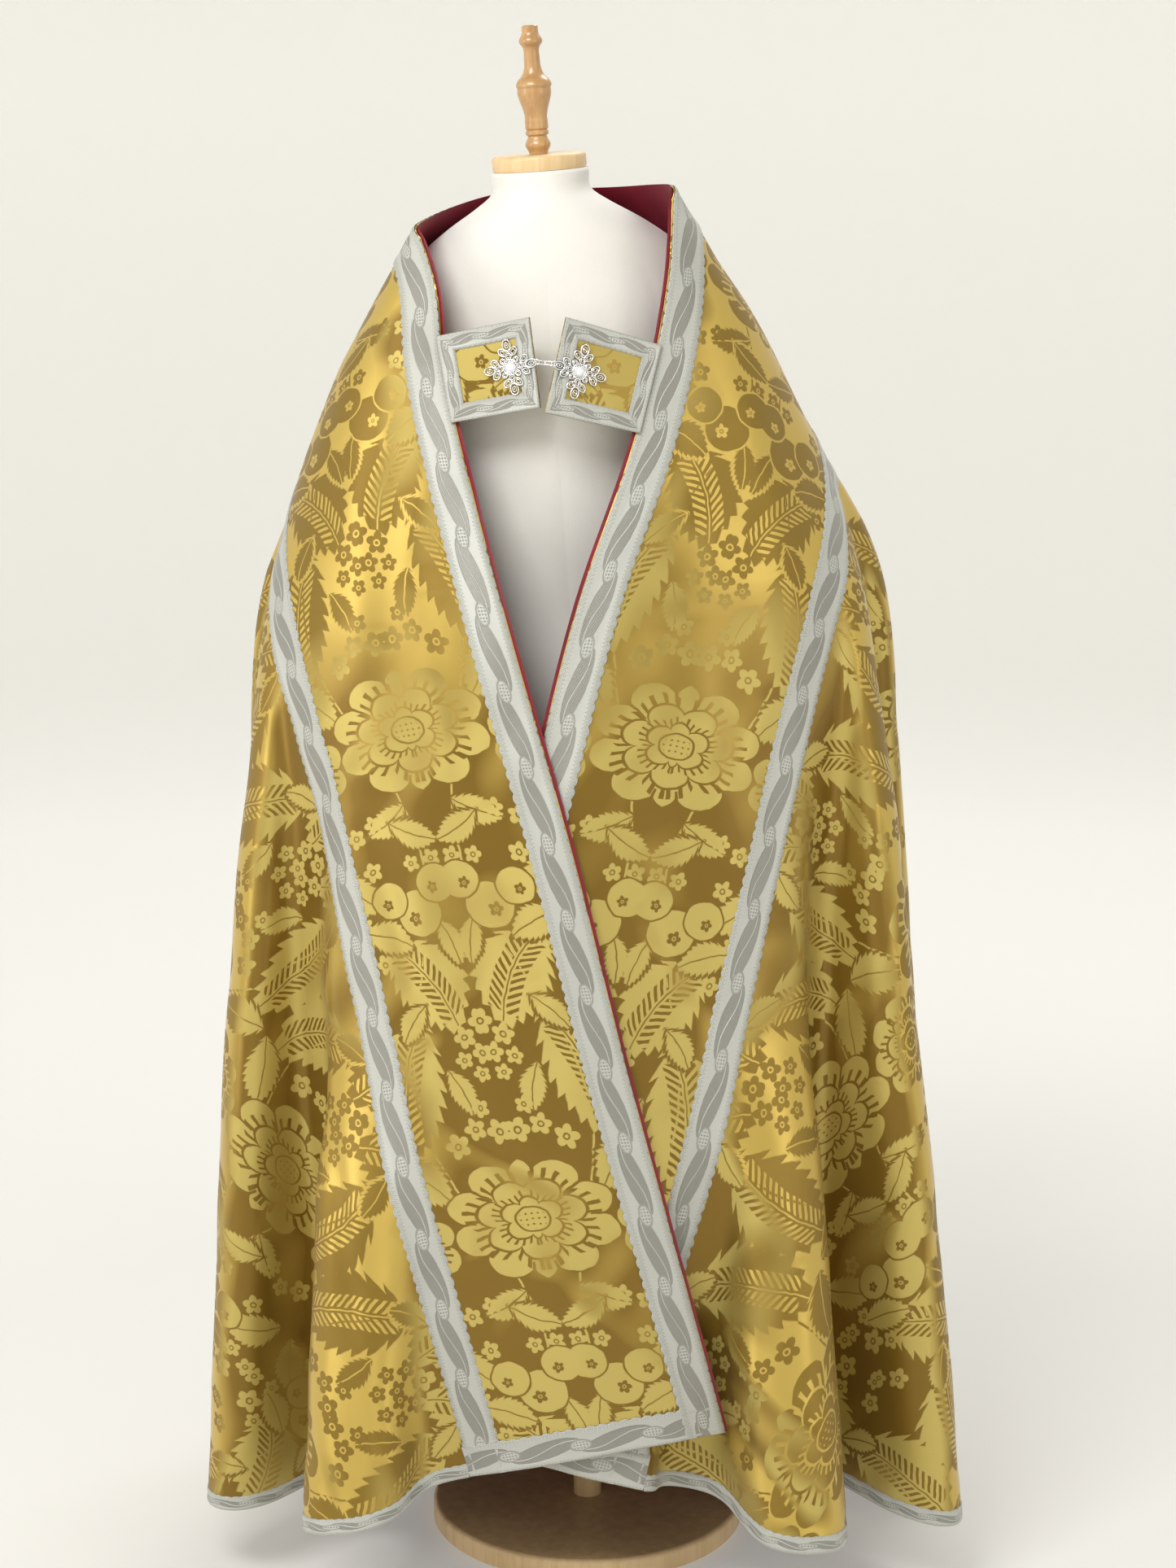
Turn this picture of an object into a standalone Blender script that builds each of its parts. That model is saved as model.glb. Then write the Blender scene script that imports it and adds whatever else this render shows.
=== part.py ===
"""Cope vestment on a limbless dress form.

The cope is a half circle of damask with a wide orphrey along its straight edge. Every panel is
laid out in the flat cut first and then carried to its worn shape by one surface: `along` is the
distance from the centre back of the neck along the straight edge, `across` the distance from that
edge. The worn surface is a stack of level sections, each one as long as the cut is there, and the
length that the body does not need stands in deep folds. Metres, +Z up, the front faces -Y.
"""
import math

import bmesh
import bpy
import numpy as np
from mathutils import Matrix, Vector
from mathutils.bvhtree import BVHTree

# Cut of the cope
NECK_HALF = 0.220          # straight edge from the centre back to the corner of the collar
CORNER_RADIUS = 1.540      # cut radius at the front corners
HEM_RADIUS = 1.645         # cut radius at the sides and the back
HEM_TURN = 24.0            # degrees of the half circle over which the one runs into the other
ORPHREY_WIDTH = 0.2860
WALL = 0.0020              # damask with its interlining
SEAM_GAP = 0.0003
TRIM = 0.0008              # a galloon ends this far short of the seam that it covers
GALLOON = 0.0010
LIFT = 0.0005              # a piece that lies on a panel is this far off it
EDGE_GALLOON = 0.0440      # width of the galloon along the straight edge
SEAM_GALLOON = 0.0380
HEM_GALLOON = 0.0170
LINING = 0.0014
LINING_SHOWS = 0.0040      # how far the lining stands beyond the straight edge

# Worn shape: one row for each level, a distance `drop` down the cloth from the neck
SECTION_COLUMNS = ("drop", "axis", "half", "middle", "front", "back",
                   "left_height", "right_height", "back_height", "left_edge", "right_edge")
SECTIONS = np.array((
    (0.00, -0.0450, 0.133, -0.100, 0.010, 0.145, 1.494, 1.534, 1.523, -0.178, 0.088),
    (0.06, -0.0440, 0.166, -0.065, 0.090, 0.145, 1.440, 1.480, 1.473, -0.159, 0.087),
    (0.16, -0.0400, 0.221, -0.020, 0.135, 0.145, 1.348, 1.390, 1.385, -0.149, 0.076),
    (0.28, -0.0350, 0.272, 0.000, 0.170, 0.170, 1.235, 1.280, 1.278, -0.123, 0.049),
    (0.45, -0.0240, 0.331, 0.000, 0.205, 0.215, 1.071, 1.120, 1.120, -0.077, -0.008),
    (0.65, -0.0195, 0.341, 0.000, 0.235, 0.250, 0.875, 0.925, 0.931, -0.021, -0.060),
    (0.90, -0.0180, 0.347, 0.000, 0.265, 0.280, 0.629, 0.680, 0.693, 0.040, -0.119),
    (1.20, -0.0110, 0.350, 0.000, 0.295, 0.310, 0.335, 0.370, 0.415, 0.117, -0.188),
    (1.645, 0.0000, 0.343, 0.000, 0.320, 0.330, -0.073, -0.083, 0.048, 0.221, -0.282),
))

# Folds: angle round from the front, reach (a ridge above 0, a valley below), lean, drop of its start
FOLDS = {
    "left": np.array((
        (18.0, 0.000, 0.000, 0.80),
        (44.0, 0.132, -0.057, 0.85),
        (58.0, -0.055, 0.000, 0.45),
        (74.0, 0.108, -0.060, 0.30),
        (92.0, -0.085, 0.000, 0.25),
        (104.0, 0.075, 0.000, 0.20),
        (117.0, -0.090, 0.000, 0.22),
        (129.0, 0.080, 0.000, 0.18),
        (140.0, -0.090, 0.000, 0.22),
        (151.0, 0.075, 0.000, 0.18),
        (163.0, -0.095, 0.000, 0.22),
        (180.0, 0.070, 0.000, 0.20),
    )),
    "right": np.array((
        (10.0, 0.000, 0.000, 0.80),
        (19.0, -0.045, 0.000, 0.95),
        (43.0, 0.122, -0.062, 0.85),
        (56.0, -0.065, 0.000, 0.45),
        (67.0, 0.130, -0.050, 0.30),
        (84.0, -0.085, 0.000, 0.25),
        (98.0, 0.085, 0.000, 0.20),
        (111.0, -0.090, 0.000, 0.22),
        (123.0, 0.080, 0.000, 0.18),
        (135.0, -0.090, 0.000, 0.22),
        (147.0, 0.080, 0.000, 0.18),
        (161.0, -0.095, 0.000, 0.22),
        (180.0, 0.070, 0.000, 0.20),
    )),
}
FULL_DROP = 1.50           # drop at which a fold has its whole reach
ROUNDNESS = 0.18           # share of its pitch by which a fold swells past a plain wave
ROUND_REACH = 0.08
ROUND_PITCH = 0.085
FREE_ANGLE = 78.0          # behind this angle the folds take up the rest of the cut
LAYER = 0.0075             # the left front lies this far out, the right front this far in
RIGHT_SAG = 0.045          # the right front, underneath, hangs lower at the hem
SIDES = {"left": -1.0, "right": 1.0}

# Counts of the solids' meshes
LEVELS = 120
SAMPLES = 480
FOLD_STEPS = 4
WIDEST_STEP = 4.5
BODY_ROWS = (0.0, 0.10, 0.22, 0.35, 0.48, 0.61, 0.74, 0.87)
ORPHREY_COLUMNS = (0.0, EDGE_GALLOON, 0.095, 0.146, 0.197, ORPHREY_WIDTH - SEAM_GALLOON, ORPHREY_WIDTH)
LINING_COLUMNS = 3

# Morse: places of its two tabs along the straight edges, and its inner corners
MORSE_AT = {"left": (0.342, 0.438), "right": (0.398, 0.494)}
MORSE_INNER = {
    "left": ((-0.0590, -0.166, 1.4050), (-0.0475, -0.168, 1.3130)),
    "right": ((-0.0225, -0.166, 1.4050), (-0.0440, -0.168, 1.3090)),
}
MORSE_OVER = 0.0030        # the tabs begin this far in from the straight edges
MORSE_WALL = 0.0030
MORSE_FRAME = 0.0180
CROSS_SPAN = 0.056
CROSS_THICK = 0.0030
CROSS_POINTS = 48
CROSS_ARMS = 4
CROSS_RIPPLE = 0.05
HOOK_HALF = 0.0022         # half the height of the hook between the two crosses
HOOK_THICK = 0.0018

# Dress form: rows of height, half width, depth to the front and to the back, place of the middle
FORM_TILT = math.radians(4.0)
POLE_RADIUS = 0.016
BASE_RADIUS = 0.180
BASE_THICK = 0.024
TORSO_BOTTOM = 0.785
TORSO = np.array((
    (0.785, 0.120, 0.080, 0.080, 0.000),
    (0.797, 0.158, 0.108, 0.108, 0.000),
    (0.845, 0.172, 0.120, 0.120, 0.000),
    (0.945, 0.165, 0.116, 0.116, 0.000),
    (1.045, 0.145, 0.104, 0.100, 0.000),
    (1.145, 0.155, 0.112, 0.108, 0.000),
    (1.245, 0.168, 0.118, 0.118, 0.000),
    (1.335, 0.172, 0.106, 0.116, -0.006),
    (1.385, 0.165, 0.088, 0.104, -0.014),
    (1.420, 0.140, 0.076, 0.088, -0.020),
    (1.450, 0.102, 0.064, 0.072, -0.026),
    (1.470, 0.070, 0.056, 0.060, -0.030),
    (1.480, 0.056, 0.052, 0.054, -0.030),
    (1.506, 0.052, 0.050, 0.050, -0.030),
))
TORSO_SIDES = 28
SHOULDER_GAP = 0.0006
NECK_CAP_RADIUS = 0.050
NECK_CAP_THICK = 0.016
FINIAL_SIDES = 20
# Outer profile of the turned finial, radius and height above the neck cap, top to bottom
FINIAL_PROFILE = (
    (0.0070, 0.1330), (0.0086, 0.1312), (0.0086, 0.1260), (0.0125, 0.1165), (0.0086, 0.1095),
    (0.0084, 0.0980), (0.0097, 0.0868), (0.0120, 0.0815), (0.0172, 0.0758), (0.0189, 0.0710),
    (0.0178, 0.0680), (0.0180, 0.0640), (0.0163, 0.0560), (0.0131, 0.0455), (0.0118, 0.0376),
    (0.0122, 0.0340), (0.0122, 0.0265), (0.0108, 0.0250), (0.0122, 0.0235), (0.0122, 0.0205),
    (0.0100, 0.0185), (0.0135, 0.0095), (0.0100, 0.0010), (0.0100, 0.0000),
)

GOLD = ("gold_damask", (0.62, 0.43, 0.13), 0.38, 0.0)
LINING_RED = ("crimson_lining", (0.10, 0.004, 0.016), 0.6, 0.0)
BRAID = ("silver_galloon", (0.62, 0.59, 0.50), 0.45, 0.2)
SILVER = ("silver_filigree", (0.80, 0.80, 0.80), 0.3, 1.0)
JERSEY = ("white_jersey", (0.80, 0.79, 0.75), 0.9, 0.0)
BEECH = ("varnished_beech", (0.46, 0.27, 0.11), 0.35, 0.0)
PALE_WOOD = ("pale_wood", (0.72, 0.52, 0.26), 0.5, 0.0)


def clear_scene():
    for item in list(bpy.data.objects):
        bpy.data.objects.remove(item, do_unlink=True)


def smooth_step(value):
    value = np.clip(value, 0.0, 1.0)
    return value * value * (3.0 - 2.0 * value)


def section_value(column, drop):
    """One column of SECTIONS at any drop, as a smooth curve through its rows."""
    knots = SECTIONS[:, 0]
    values = SECTIONS[:, SECTION_COLUMNS.index(column)]
    slopes = np.gradient(values, knots)
    row = np.clip(np.searchsorted(knots, drop) - 1, 0, len(knots) - 2)
    span = knots[row + 1] - knots[row]
    part = (drop - knots[row]) / span
    rest = 1.0 - part
    return ((1.0 + 2.0 * part) * rest ** 2 * values[row] + part * rest ** 2 * span * slopes[row]
            + part ** 2 * (3.0 - 2.0 * part) * values[row + 1]
            - part ** 2 * rest * span * slopes[row + 1])


def fold_growth(drop, start):
    part = np.clip((drop - start) / (FULL_DROP - start), 0.0, None)
    return part * smooth_step(part / 0.35)


def fold_shift(side, angle, drop):
    """How far the folds push a point out and along its section."""
    rows = FOLDS[side]
    row = np.clip(np.searchsorted(rows[:, 0], angle) - 1, 0, len(rows) - 2)
    turn = rows[row + 1, 0] - rows[row, 0]
    part = np.clip((angle - rows[row, 0]) / turn, 0.0, 1.0)
    wave = (1.0 - np.cos(np.pi * part)) / 2.0
    first = fold_growth(drop, rows[row, 3])
    second = fold_growth(drop, rows[row + 1, 3])
    rise = rows[row + 1, 1] * second - rows[row, 1] * first
    reach = rows[row, 1] * first + rise * wave
    lean = rows[row, 2] * first + (rows[row + 1, 2] * second - rows[row, 2] * first) * wave
    pitch = np.minimum(np.radians(turn) * section_value("half", drop), ROUND_PITCH)
    swell = ROUNDNESS * pitch * np.tanh(np.abs(rise) / ROUND_REACH) * np.sin(2.0 * np.pi * part)
    return reach, lean + swell


def cloth_point(side, angle, drop, spread):
    """The worn surface at an angle round from the front (degrees) and a drop."""
    sign = SIDES[side]
    half = section_value("half", drop)
    turn = np.radians(angle)
    depth = np.where(angle < 90.0, section_value("front", drop), section_value("back", drop))
    x = section_value("axis", drop) + sign * half * np.sin(turn)
    y = section_value("middle", drop) - depth * np.cos(turn)
    out = np.stack((sign * np.sin(turn) / half, -np.cos(turn) / depth), -1)
    out /= np.linalg.norm(out, axis=-1, keepdims=True)
    round_ = np.stack((sign * np.cos(turn) * half, np.sin(turn) * depth), -1)
    round_ /= np.linalg.norm(round_, axis=-1, keepdims=True)
    reach, lean = fold_shift(side, angle, drop)
    free = smooth_step((angle - FREE_ANGLE) / 12.0) * smooth_step((180.0 - angle) / 18.0)
    reach = reach * (1.0 + (spread - 1.0) * free)
    overlap = smooth_step((40.0 - angle) / 25.0) * smooth_step((drop - 0.3) / 0.2)
    reach = reach - sign * LAYER * overlap
    height = section_value(side + "_height", drop)
    behind = np.where(angle > 90.0, np.cos(turn) ** 2, 0.0)
    height = height + (section_value("back_height", drop) - height) * behind
    if side == "right":
        height = height - RIGHT_SAG * smooth_step((60.0 - angle) / 50.0) * (drop / FULL_DROP) ** 2
    place = np.stack((x, y, height), -1)
    place[..., :2] += out * reach[..., None] + round_ * lean[..., None]
    return place


def edge_angle(side, drop):
    offset = section_value(side + "_edge", drop) - section_value("axis", drop)
    return np.degrees(np.arcsin(np.clip(SIDES[side] * offset / section_value("half", drop), -1.0, 1.0)))


def flat_place(drop, run):
    """Along and across in the flat cut, of a point `run` from the front edge at a drop."""
    bend = run / np.maximum(drop, 1e-9)
    around = bend < math.pi / 2.0
    along = np.where(around, NECK_HALF + drop * np.cos(bend), NECK_HALF - run + math.pi * drop / 2.0)
    across = np.where(around, drop * np.sin(bend), drop)
    return along, across


def hem_radius(along, across):
    turn = np.degrees(np.arctan2(across, along))
    return CORNER_RADIUS + (HEM_RADIUS - CORNER_RADIUS) * smooth_step(turn / HEM_TURN)


def build_table(side):
    """Sections from the neck to the hem, each as long as the cut is at its drop."""
    drops = np.linspace(0.0, HEM_RADIUS, LEVELS)
    cut = NECK_HALF + math.pi * drops / 2.0
    start = edge_angle(side, drops)[:, None]
    angles = start + (180.0 - start) * np.linspace(0.0, 1.0, SAMPLES)[None, :]
    levels = np.broadcast_to(drops[:, None], angles.shape)

    def runs(spread):
        places = cloth_point(side, angles, levels, spread[:, None])
        steps = np.linalg.norm(np.diff(places, axis=1), axis=2)
        return np.concatenate((np.zeros((LEVELS, 1)), np.cumsum(steps, axis=1)), axis=1)

    low = np.zeros(LEVELS)
    high = np.full(LEVELS, 3.0)
    for _ in range(18):
        spread = (low + high) / 2.0
        short = runs(spread)[:, -1] < cut
        low = np.where(short, spread, low)
        high = np.where(short, high, spread)
    spread = (low + high) / 2.0
    run = runs(spread)
    length = run[:, -1:]
    # The front half keeps its true lengths, the back takes up what is left of the cut
    part = np.clip((run - 0.5 * length) / (0.5 * length), 0.0, 1.0)
    run = run + (cut[:, None] - length) * part ** 2 * (2.0 - part)
    along, across = flat_place(levels, run)
    return {"drops": drops, "angles": angles, "run": run, "cut": cut, "spread": spread,
            "along": along, "across": across}


def cloth_frame(side, angle, drop):
    """Points and outward normals of the worn surface."""
    table = TABLES[side]

    def at(angles, drops):
        return cloth_point(side, angles, drops, np.interp(drops, table["drops"], table["spread"]))

    point = at(angle, drop)
    turn = at(angle + 0.05, drop) - at(angle - 0.05, drop)
    down = at(angle, drop + 0.001) - at(angle, np.maximum(drop - 0.001, 0.0))
    normal = np.cross(down, turn) * SIDES[side]
    return point, normal / np.linalg.norm(normal, axis=-1, keepdims=True)


def angle_at(side, along, across):
    """Angle and drop of points given in the flat cut."""
    table = TABLES[side]
    past = np.maximum(along - NECK_HALF, 0.0)
    drop = np.hypot(past, across)
    run = np.where(along > NECK_HALF, drop * np.arctan2(across, past),
                   math.pi * drop / 2.0 + NECK_HALF - along)
    share = run / (NECK_HALF + math.pi * drop / 2.0)
    level = np.clip(drop / HEM_RADIUS * (LEVELS - 1), 0.0, LEVELS - 1.0001)
    angle = np.empty_like(drop)
    for index in np.ndindex(drop.shape):
        row = int(level[index])
        near, far = (np.interp(share[index], table["run"][k] / table["cut"][k], table["angles"][k])
                     for k in (row, row + 1))
        angle[index] = near + (far - near) * (level[index] - row)
    return angle, drop


def crossing(values, limit, drops):
    """First drop at which a growing column of values passes a limit."""
    row = int(np.argmax(values > limit))
    part = (limit - values[row - 1]) / (values[row] - values[row - 1])
    return drops[row - 1] + part * (drops[row] - drops[row - 1])


def column_ends(side, angle):
    """Drops at which a line of constant angle leaves the orphrey and meets the hem."""
    table = TABLES[side]
    along = np.array([np.interp(angle, a, v) for a, v in zip(table["angles"], table["along"])])
    across = np.array([np.interp(angle, a, v) for a, v in zip(table["angles"], table["across"])])
    across = np.where(table["angles"][:, 0] < angle, across, -1.0)
    seam = crossing(across, ORPHREY_WIDTH + SEAM_GAP, table["drops"])
    past = np.hypot(along, across) - hem_radius(along, across)
    hem = crossing(np.where(across > 0.0, past, -1.0), 0.0, table["drops"])
    return seam, hem, float(np.interp(seam, table["drops"], along))


def hem_along(across):
    """Where a line of constant `across` meets the hem."""
    along = np.full_like(np.asarray(across, dtype=float), CORNER_RADIUS)
    for _ in range(20):
        along = np.sqrt(hem_radius(along, across) ** 2 - np.asarray(across) ** 2)
    return along


def material(spec):
    name, colour, roughness, metallic = spec
    found = bpy.data.materials.get(name)
    if found:
        return found
    made = bpy.data.materials.new(name)
    made.use_nodes = True
    made.diffuse_color = (*colour, 1.0)
    shader = made.node_tree.nodes["Principled BSDF"]
    shader.inputs["Base Color"].default_value = (*colour, 1.0)
    shader.inputs["Roughness"].default_value = roughness
    shader.inputs["Metallic"].default_value = metallic
    return made


def add_object(name, mesh, spec, smooth_angle=40.0):
    item = bpy.data.objects.new(name, mesh)
    COLLECTION.objects.link(item)
    mesh.materials.append(material(spec))
    mesh.shade_smooth()
    mesh.set_sharp_from_angle(angle=math.radians(smooth_angle))
    return item


def mesh_from(name, vertices, faces):
    mesh = bpy.data.meshes.new(name)
    mesh.from_pydata([tuple(v) for v in vertices], [], faces)
    work = bmesh.new()
    work.from_mesh(mesh)
    bmesh.ops.remove_doubles(work, verts=work.verts, dist=0.00002)
    bmesh.ops.recalc_face_normals(work, faces=work.faces)
    work.to_mesh(mesh)
    work.free()
    return mesh


def wall(name, points, normals, top, thickness, spec):
    """A closed wall on a grid of points, its outer side `top` above them."""
    rows, columns = points.shape[:2]
    outer = (points + normals * top).reshape(-1, 3)
    inner = (points + normals * (top - thickness)).reshape(-1, 3)
    count = rows * columns
    faces = []
    for row in range(rows - 1):
        for column in range(columns - 1):
            first = row * columns + column
            # The same diagonal everywhere, so that what lies on a panel follows its facets
            for corner in ((first, first + columns, first + columns + 1),
                           (first, first + columns + 1, first + 1)):
                faces.append(corner)
                faces.append(tuple(count + v for v in reversed(corner)))
    border = list(range(columns))
    border += [row * columns + columns - 1 for row in range(1, rows)]
    border += [(rows - 1) * columns + column for column in range(columns - 2, -1, -1)]
    border += [row * columns for row in range(rows - 2, 0, -1)]
    for here, there in zip(border, border[1:] + border[:1]):
        # Two panels that meet cut the sides of their seam along the same diagonal
        if outer[here][2] < outer[there][2]:
            faces += [(here, there, count + there), (here, count + there, count + here)]
        else:
            faces += [(here, there, count + here), (there, count + there, count + here)]
    return add_object(name, mesh_from(name, np.concatenate((outer, inner)), faces), spec)


def body_columns(side):
    """Angles of the body's columns: fold lines and the steps between them."""
    across = np.full(2, ORPHREY_WIDTH + SEAM_GAP)
    angle, drop = angle_at(side, hem_along(across) - np.array((0.0, HEM_GALLOON)), across)
    lines = [float(angle[1])] + [float(a) for a in FOLDS[side][:, 0] if a > angle[1] + 3.0]
    angles = [float(angle[0])]
    for here, there in zip(lines, lines[1:]):
        steps = max(2, FOLD_STEPS, round((there - here) / WIDEST_STEP)) if there - here > 8.0 else 2
        angles += list(np.linspace(here, there, steps + 1)[:-1])
    return angles + [180.0], float(drop[0])


def body_grid(side):
    """Angles and drops of the body's half, rows down and columns round, and the seam's places."""
    lines, corner_drop = body_columns(side)
    drops = [[corner_drop] * (len(BODY_ROWS) + 2)]
    angles = [[lines[0]] * len(drops[0])]
    seam_along = []
    for line in lines[1:]:
        seam, hem, along = column_ends(side, line)
        band = min(HEM_GALLOON, 0.2 * (hem - seam))
        rows = [seam + (hem - band - seam) * part for part in BODY_ROWS]
        drops.append(rows + [hem - band, hem])
        angles.append([line] * len(drops[-1]))
        # The first point sits on the seam just where the orphrey has its own
        seam_angle, seam_drop = angle_at(side, np.array([along]), np.array([ORPHREY_WIDTH + SEAM_GAP]))
        angles[-1][0] = float(seam_angle[0])
        drops[-1][0] = float(seam_drop[0])
        seam_along.append(along)
    seam_along[-1] = SEAM_GAP / 2.0
    return np.array(angles).T, np.array(drops).T, seam_along


def orphrey_grid(side, seam_along):
    """Along and across of the orphrey's half, rows from the hem to the centre back."""
    across = np.array(ORPHREY_COLUMNS)
    hem = hem_along(across)
    rows = [hem, hem - HEM_GALLOON]
    rows += [np.full_like(across, along) for along in seam_along[1:]]
    along = np.array(rows)
    return along, np.broadcast_to(across, along.shape).copy()


def build_cope():
    halves = {side: body_grid(side) for side in SIDES}
    points = []
    normals = []
    for side in SIDES:
        point, normal = cloth_frame(side, halves[side][0], halves[side][1])
        # The two halves meet in a seam down the centre back
        panel = point.copy()
        step = point[:, -2] - point[:, -1]
        panel[:, -1] += step / np.linalg.norm(step, axis=-1, keepdims=True) * (SEAM_GAP / 2.0)
        wall("cope_body_" + side, panel, normal, 0.0, WALL, GOLD)
        if side == "right":
            point, normal = point[:, -2::-1], normal[:, -2::-1]
        points.append(point)
        normals.append(normal)
    points = np.concatenate(points, axis=1)
    normals = np.concatenate(normals, axis=1)
    lifted = LIFT + GALLOON
    wall("galloon_hem", points[-2:, 2:-2], normals[-2:, 2:-2], lifted, GALLOON, BRAID)
    for side in SIDES:
        along, across = orphrey_grid(side, halves[side][2])
        angle, drop = angle_at(side, along, across)
        point, normal = cloth_frame(side, angle, drop)
        wall("orphrey_" + side, point, normal, 0.0, WALL, GOLD)
        edge_point = trimmed(point[:, :2], TRIM)
        wall("galloon_edge_" + side, edge_point, normal[:, :2], lifted, GALLOON, BRAID)
        seam_point = trimmed(point[:, -2:], TRIM)
        wall("galloon_seam_" + side, seam_point, normal[:, -2:], lifted, GALLOON, BRAID)
        hem_point = trimmed(point[:2, 1:-1], TRIM)
        wall("galloon_hem_" + side, hem_point, normal[:2, 1:-1], lifted, GALLOON, BRAID)
        lining(side, point[1:, :LINING_COLUMNS], normal[1:, :LINING_COLUMNS])


def trimmed(points, gap):
    """A strip of points with its first and last columns drawn in by a gap."""
    drawn = points.copy()
    for end, inner in ((0, 1), (-1, -2)):
        step = points[:, inner] - points[:, end]
        drawn[:, end] += step / np.linalg.norm(step, axis=-1, keepdims=True) * gap
    return drawn


def lining(side, point, normal):
    """The lining where it shows, inside the collar and beyond the straight edge."""
    outward = point[:, 0] - point[:, 1]
    outward /= np.linalg.norm(outward, axis=-1, keepdims=True)
    point = np.concatenate(((point[:, 0] + outward * LINING_SHOWS)[:, None], point), axis=1)
    normal = np.concatenate((normal[:, :1], normal), axis=1)
    wall("lining_" + side, point, normal, -WALL - LIFT, LINING, LINING_RED)


def morse_grid(side):
    """Four corners of a tab of the morse and the direction that it faces."""
    along = np.array(MORSE_AT[side])
    across = np.full_like(along, MORSE_OVER)
    angle, drop = angle_at(side, along, across)
    point, normal = cloth_frame(side, angle, drop)
    outer = point + normal * (GALLOON + 2.0 * LIFT)
    inner = np.array(MORSE_INNER[side])
    grid = np.stack((outer, inner), axis=1)
    face = np.cross(grid[0, 1] - grid[0, 0], grid[1, 0] - grid[0, 0])
    face /= np.linalg.norm(face)
    if face[1] > 0.0:
        face = -face
    # The tab is flat, so its last corner moves in depth onto the plane of the other three
    grid[1, 1, 1] -= np.dot(grid[1, 1] - grid[0, 0], face) / face[1]
    return grid, face


def blend_grid(grid, across_parts, down_parts):
    """Points of a four-cornered patch at the given shares of its sides."""
    rows = []
    for down in down_parts:
        left = grid[0, 0] + (grid[1, 0] - grid[0, 0]) * down
        right = grid[0, 1] + (grid[1, 1] - grid[0, 1]) * down
        rows.append([left + (right - left) * part for part in across_parts])
    return np.array(rows)


def frame_mesh(name, grid, face, top):
    """A flat four-sided frame on a patch, with the hole of a picture frame."""
    width = np.linalg.norm(grid[0, 1] - grid[0, 0])
    height = np.linalg.norm(grid[1, 0] - grid[0, 0])
    parts = (0.0, MORSE_FRAME / width, 1.0 - MORSE_FRAME / width, 1.0)
    downs = (0.0, MORSE_FRAME / height, 1.0 - MORSE_FRAME / height, 1.0)
    points = blend_grid(grid, parts, downs).reshape(-1, 3)
    outer = points + face * top
    inner = points + face * (top - GALLOON)
    quads = [(0, 1, 5, 4), (1, 2, 6, 5), (2, 3, 7, 6), (4, 5, 9, 8),
             (6, 7, 11, 10), (8, 9, 13, 12), (9, 10, 14, 13), (10, 11, 15, 14)]
    faces = quads + [tuple(16 + v for v in reversed(quad)) for quad in quads]
    for ring in ((0, 1, 2, 3, 7, 11, 15, 14, 13, 12, 8, 4), (5, 9, 10, 6)):
        for here, there in zip(ring, ring[1:] + ring[:1]):
            faces.append((here, there, 16 + there, 16 + here))
    return mesh_from(name, np.concatenate((outer, inner)), faces)


def cross_outline():
    """Outline of a cross with leaf-shaped arms, as a radius for each direction."""
    outline = []
    for step in range(CROSS_POINTS):
        turn = 2.0 * math.pi * step / CROSS_POINTS
        arm = abs(math.cos(CROSS_ARMS / 2.0 * turn)) ** 1.6
        radius = CROSS_SPAN / 2.0 * (0.46 + 0.54 * arm) * (1.0 + CROSS_RIPPLE * math.cos(12.0 * turn))
        outline.append((radius * math.cos(turn), radius * math.sin(turn)))
    return outline


def build_morse():
    tips = []
    for side in SIDES:
        grid, face = morse_grid(side)
        shares = (0.0, 0.5, 1.0)
        points = blend_grid(grid, shares, shares)
        normals = np.broadcast_to(face, points.shape)
        wall("morse_" + side, points, normals, MORSE_WALL, MORSE_WALL, GOLD)
        frame_top = MORSE_WALL + SEAM_GAP + GALLOON
        mesh = frame_mesh("morse_frame_" + side, grid, face, frame_top)
        add_object("morse_frame_" + side, mesh, BRAID)
        tips.append(build_cross(side, grid, face, frame_top))
    # The hook runs from the tip of one cross to the tip of the other
    way = (tips[1] - tips[0]) / np.linalg.norm(tips[1] - tips[0])
    ends = (tips[0] + way * SEAM_GAP, tips[1] - way * SEAM_GAP)
    rise = np.array((0.0, 0.0, HOOK_HALF))
    points = np.array([[end + rise for end in ends], [end - rise for end in ends]])
    normals = np.broadcast_to(np.array((0.0, -1.0, 0.0)), points.shape)
    wall("clasp_hook", points, normals, HOOK_THICK / 2.0, HOOK_THICK, SILVER)


def build_cross(side, grid, face, top):
    """One filigree cross of the clasp, on the frame at the tab's inner side; gives its tip."""
    across = (grid[0, 1] - grid[0, 0]) / np.linalg.norm(grid[0, 1] - grid[0, 0])
    down = np.cross(face, across)
    middle = (grid[0, 1] + grid[1, 1]) / 2.0 - across * (CROSS_SPAN / 2.0 - 0.002)
    start = middle + face * (top + SEAM_GAP)
    ring = [start + across * u + down * v for u, v in cross_outline()]
    count = len(ring)
    centre = [start, start + face * CROSS_THICK]
    vertices = ring + [point + face * CROSS_THICK for point in ring] + centre
    faces = []
    for here in range(count):
        there = (here + 1) % count
        faces.append((here, there, count + there, count + here))
        faces.append((there, here, 2 * count))
        faces.append((count + here, count + there, 2 * count + 1))
    add_object("clasp_" + side, mesh_from("clasp_" + side, vertices, faces), SILVER)
    tip = CROSS_SPAN / 2.0 * (1.0 + CROSS_RIPPLE)
    return start + across * tip + face * (CROSS_THICK / 2.0)


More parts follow.
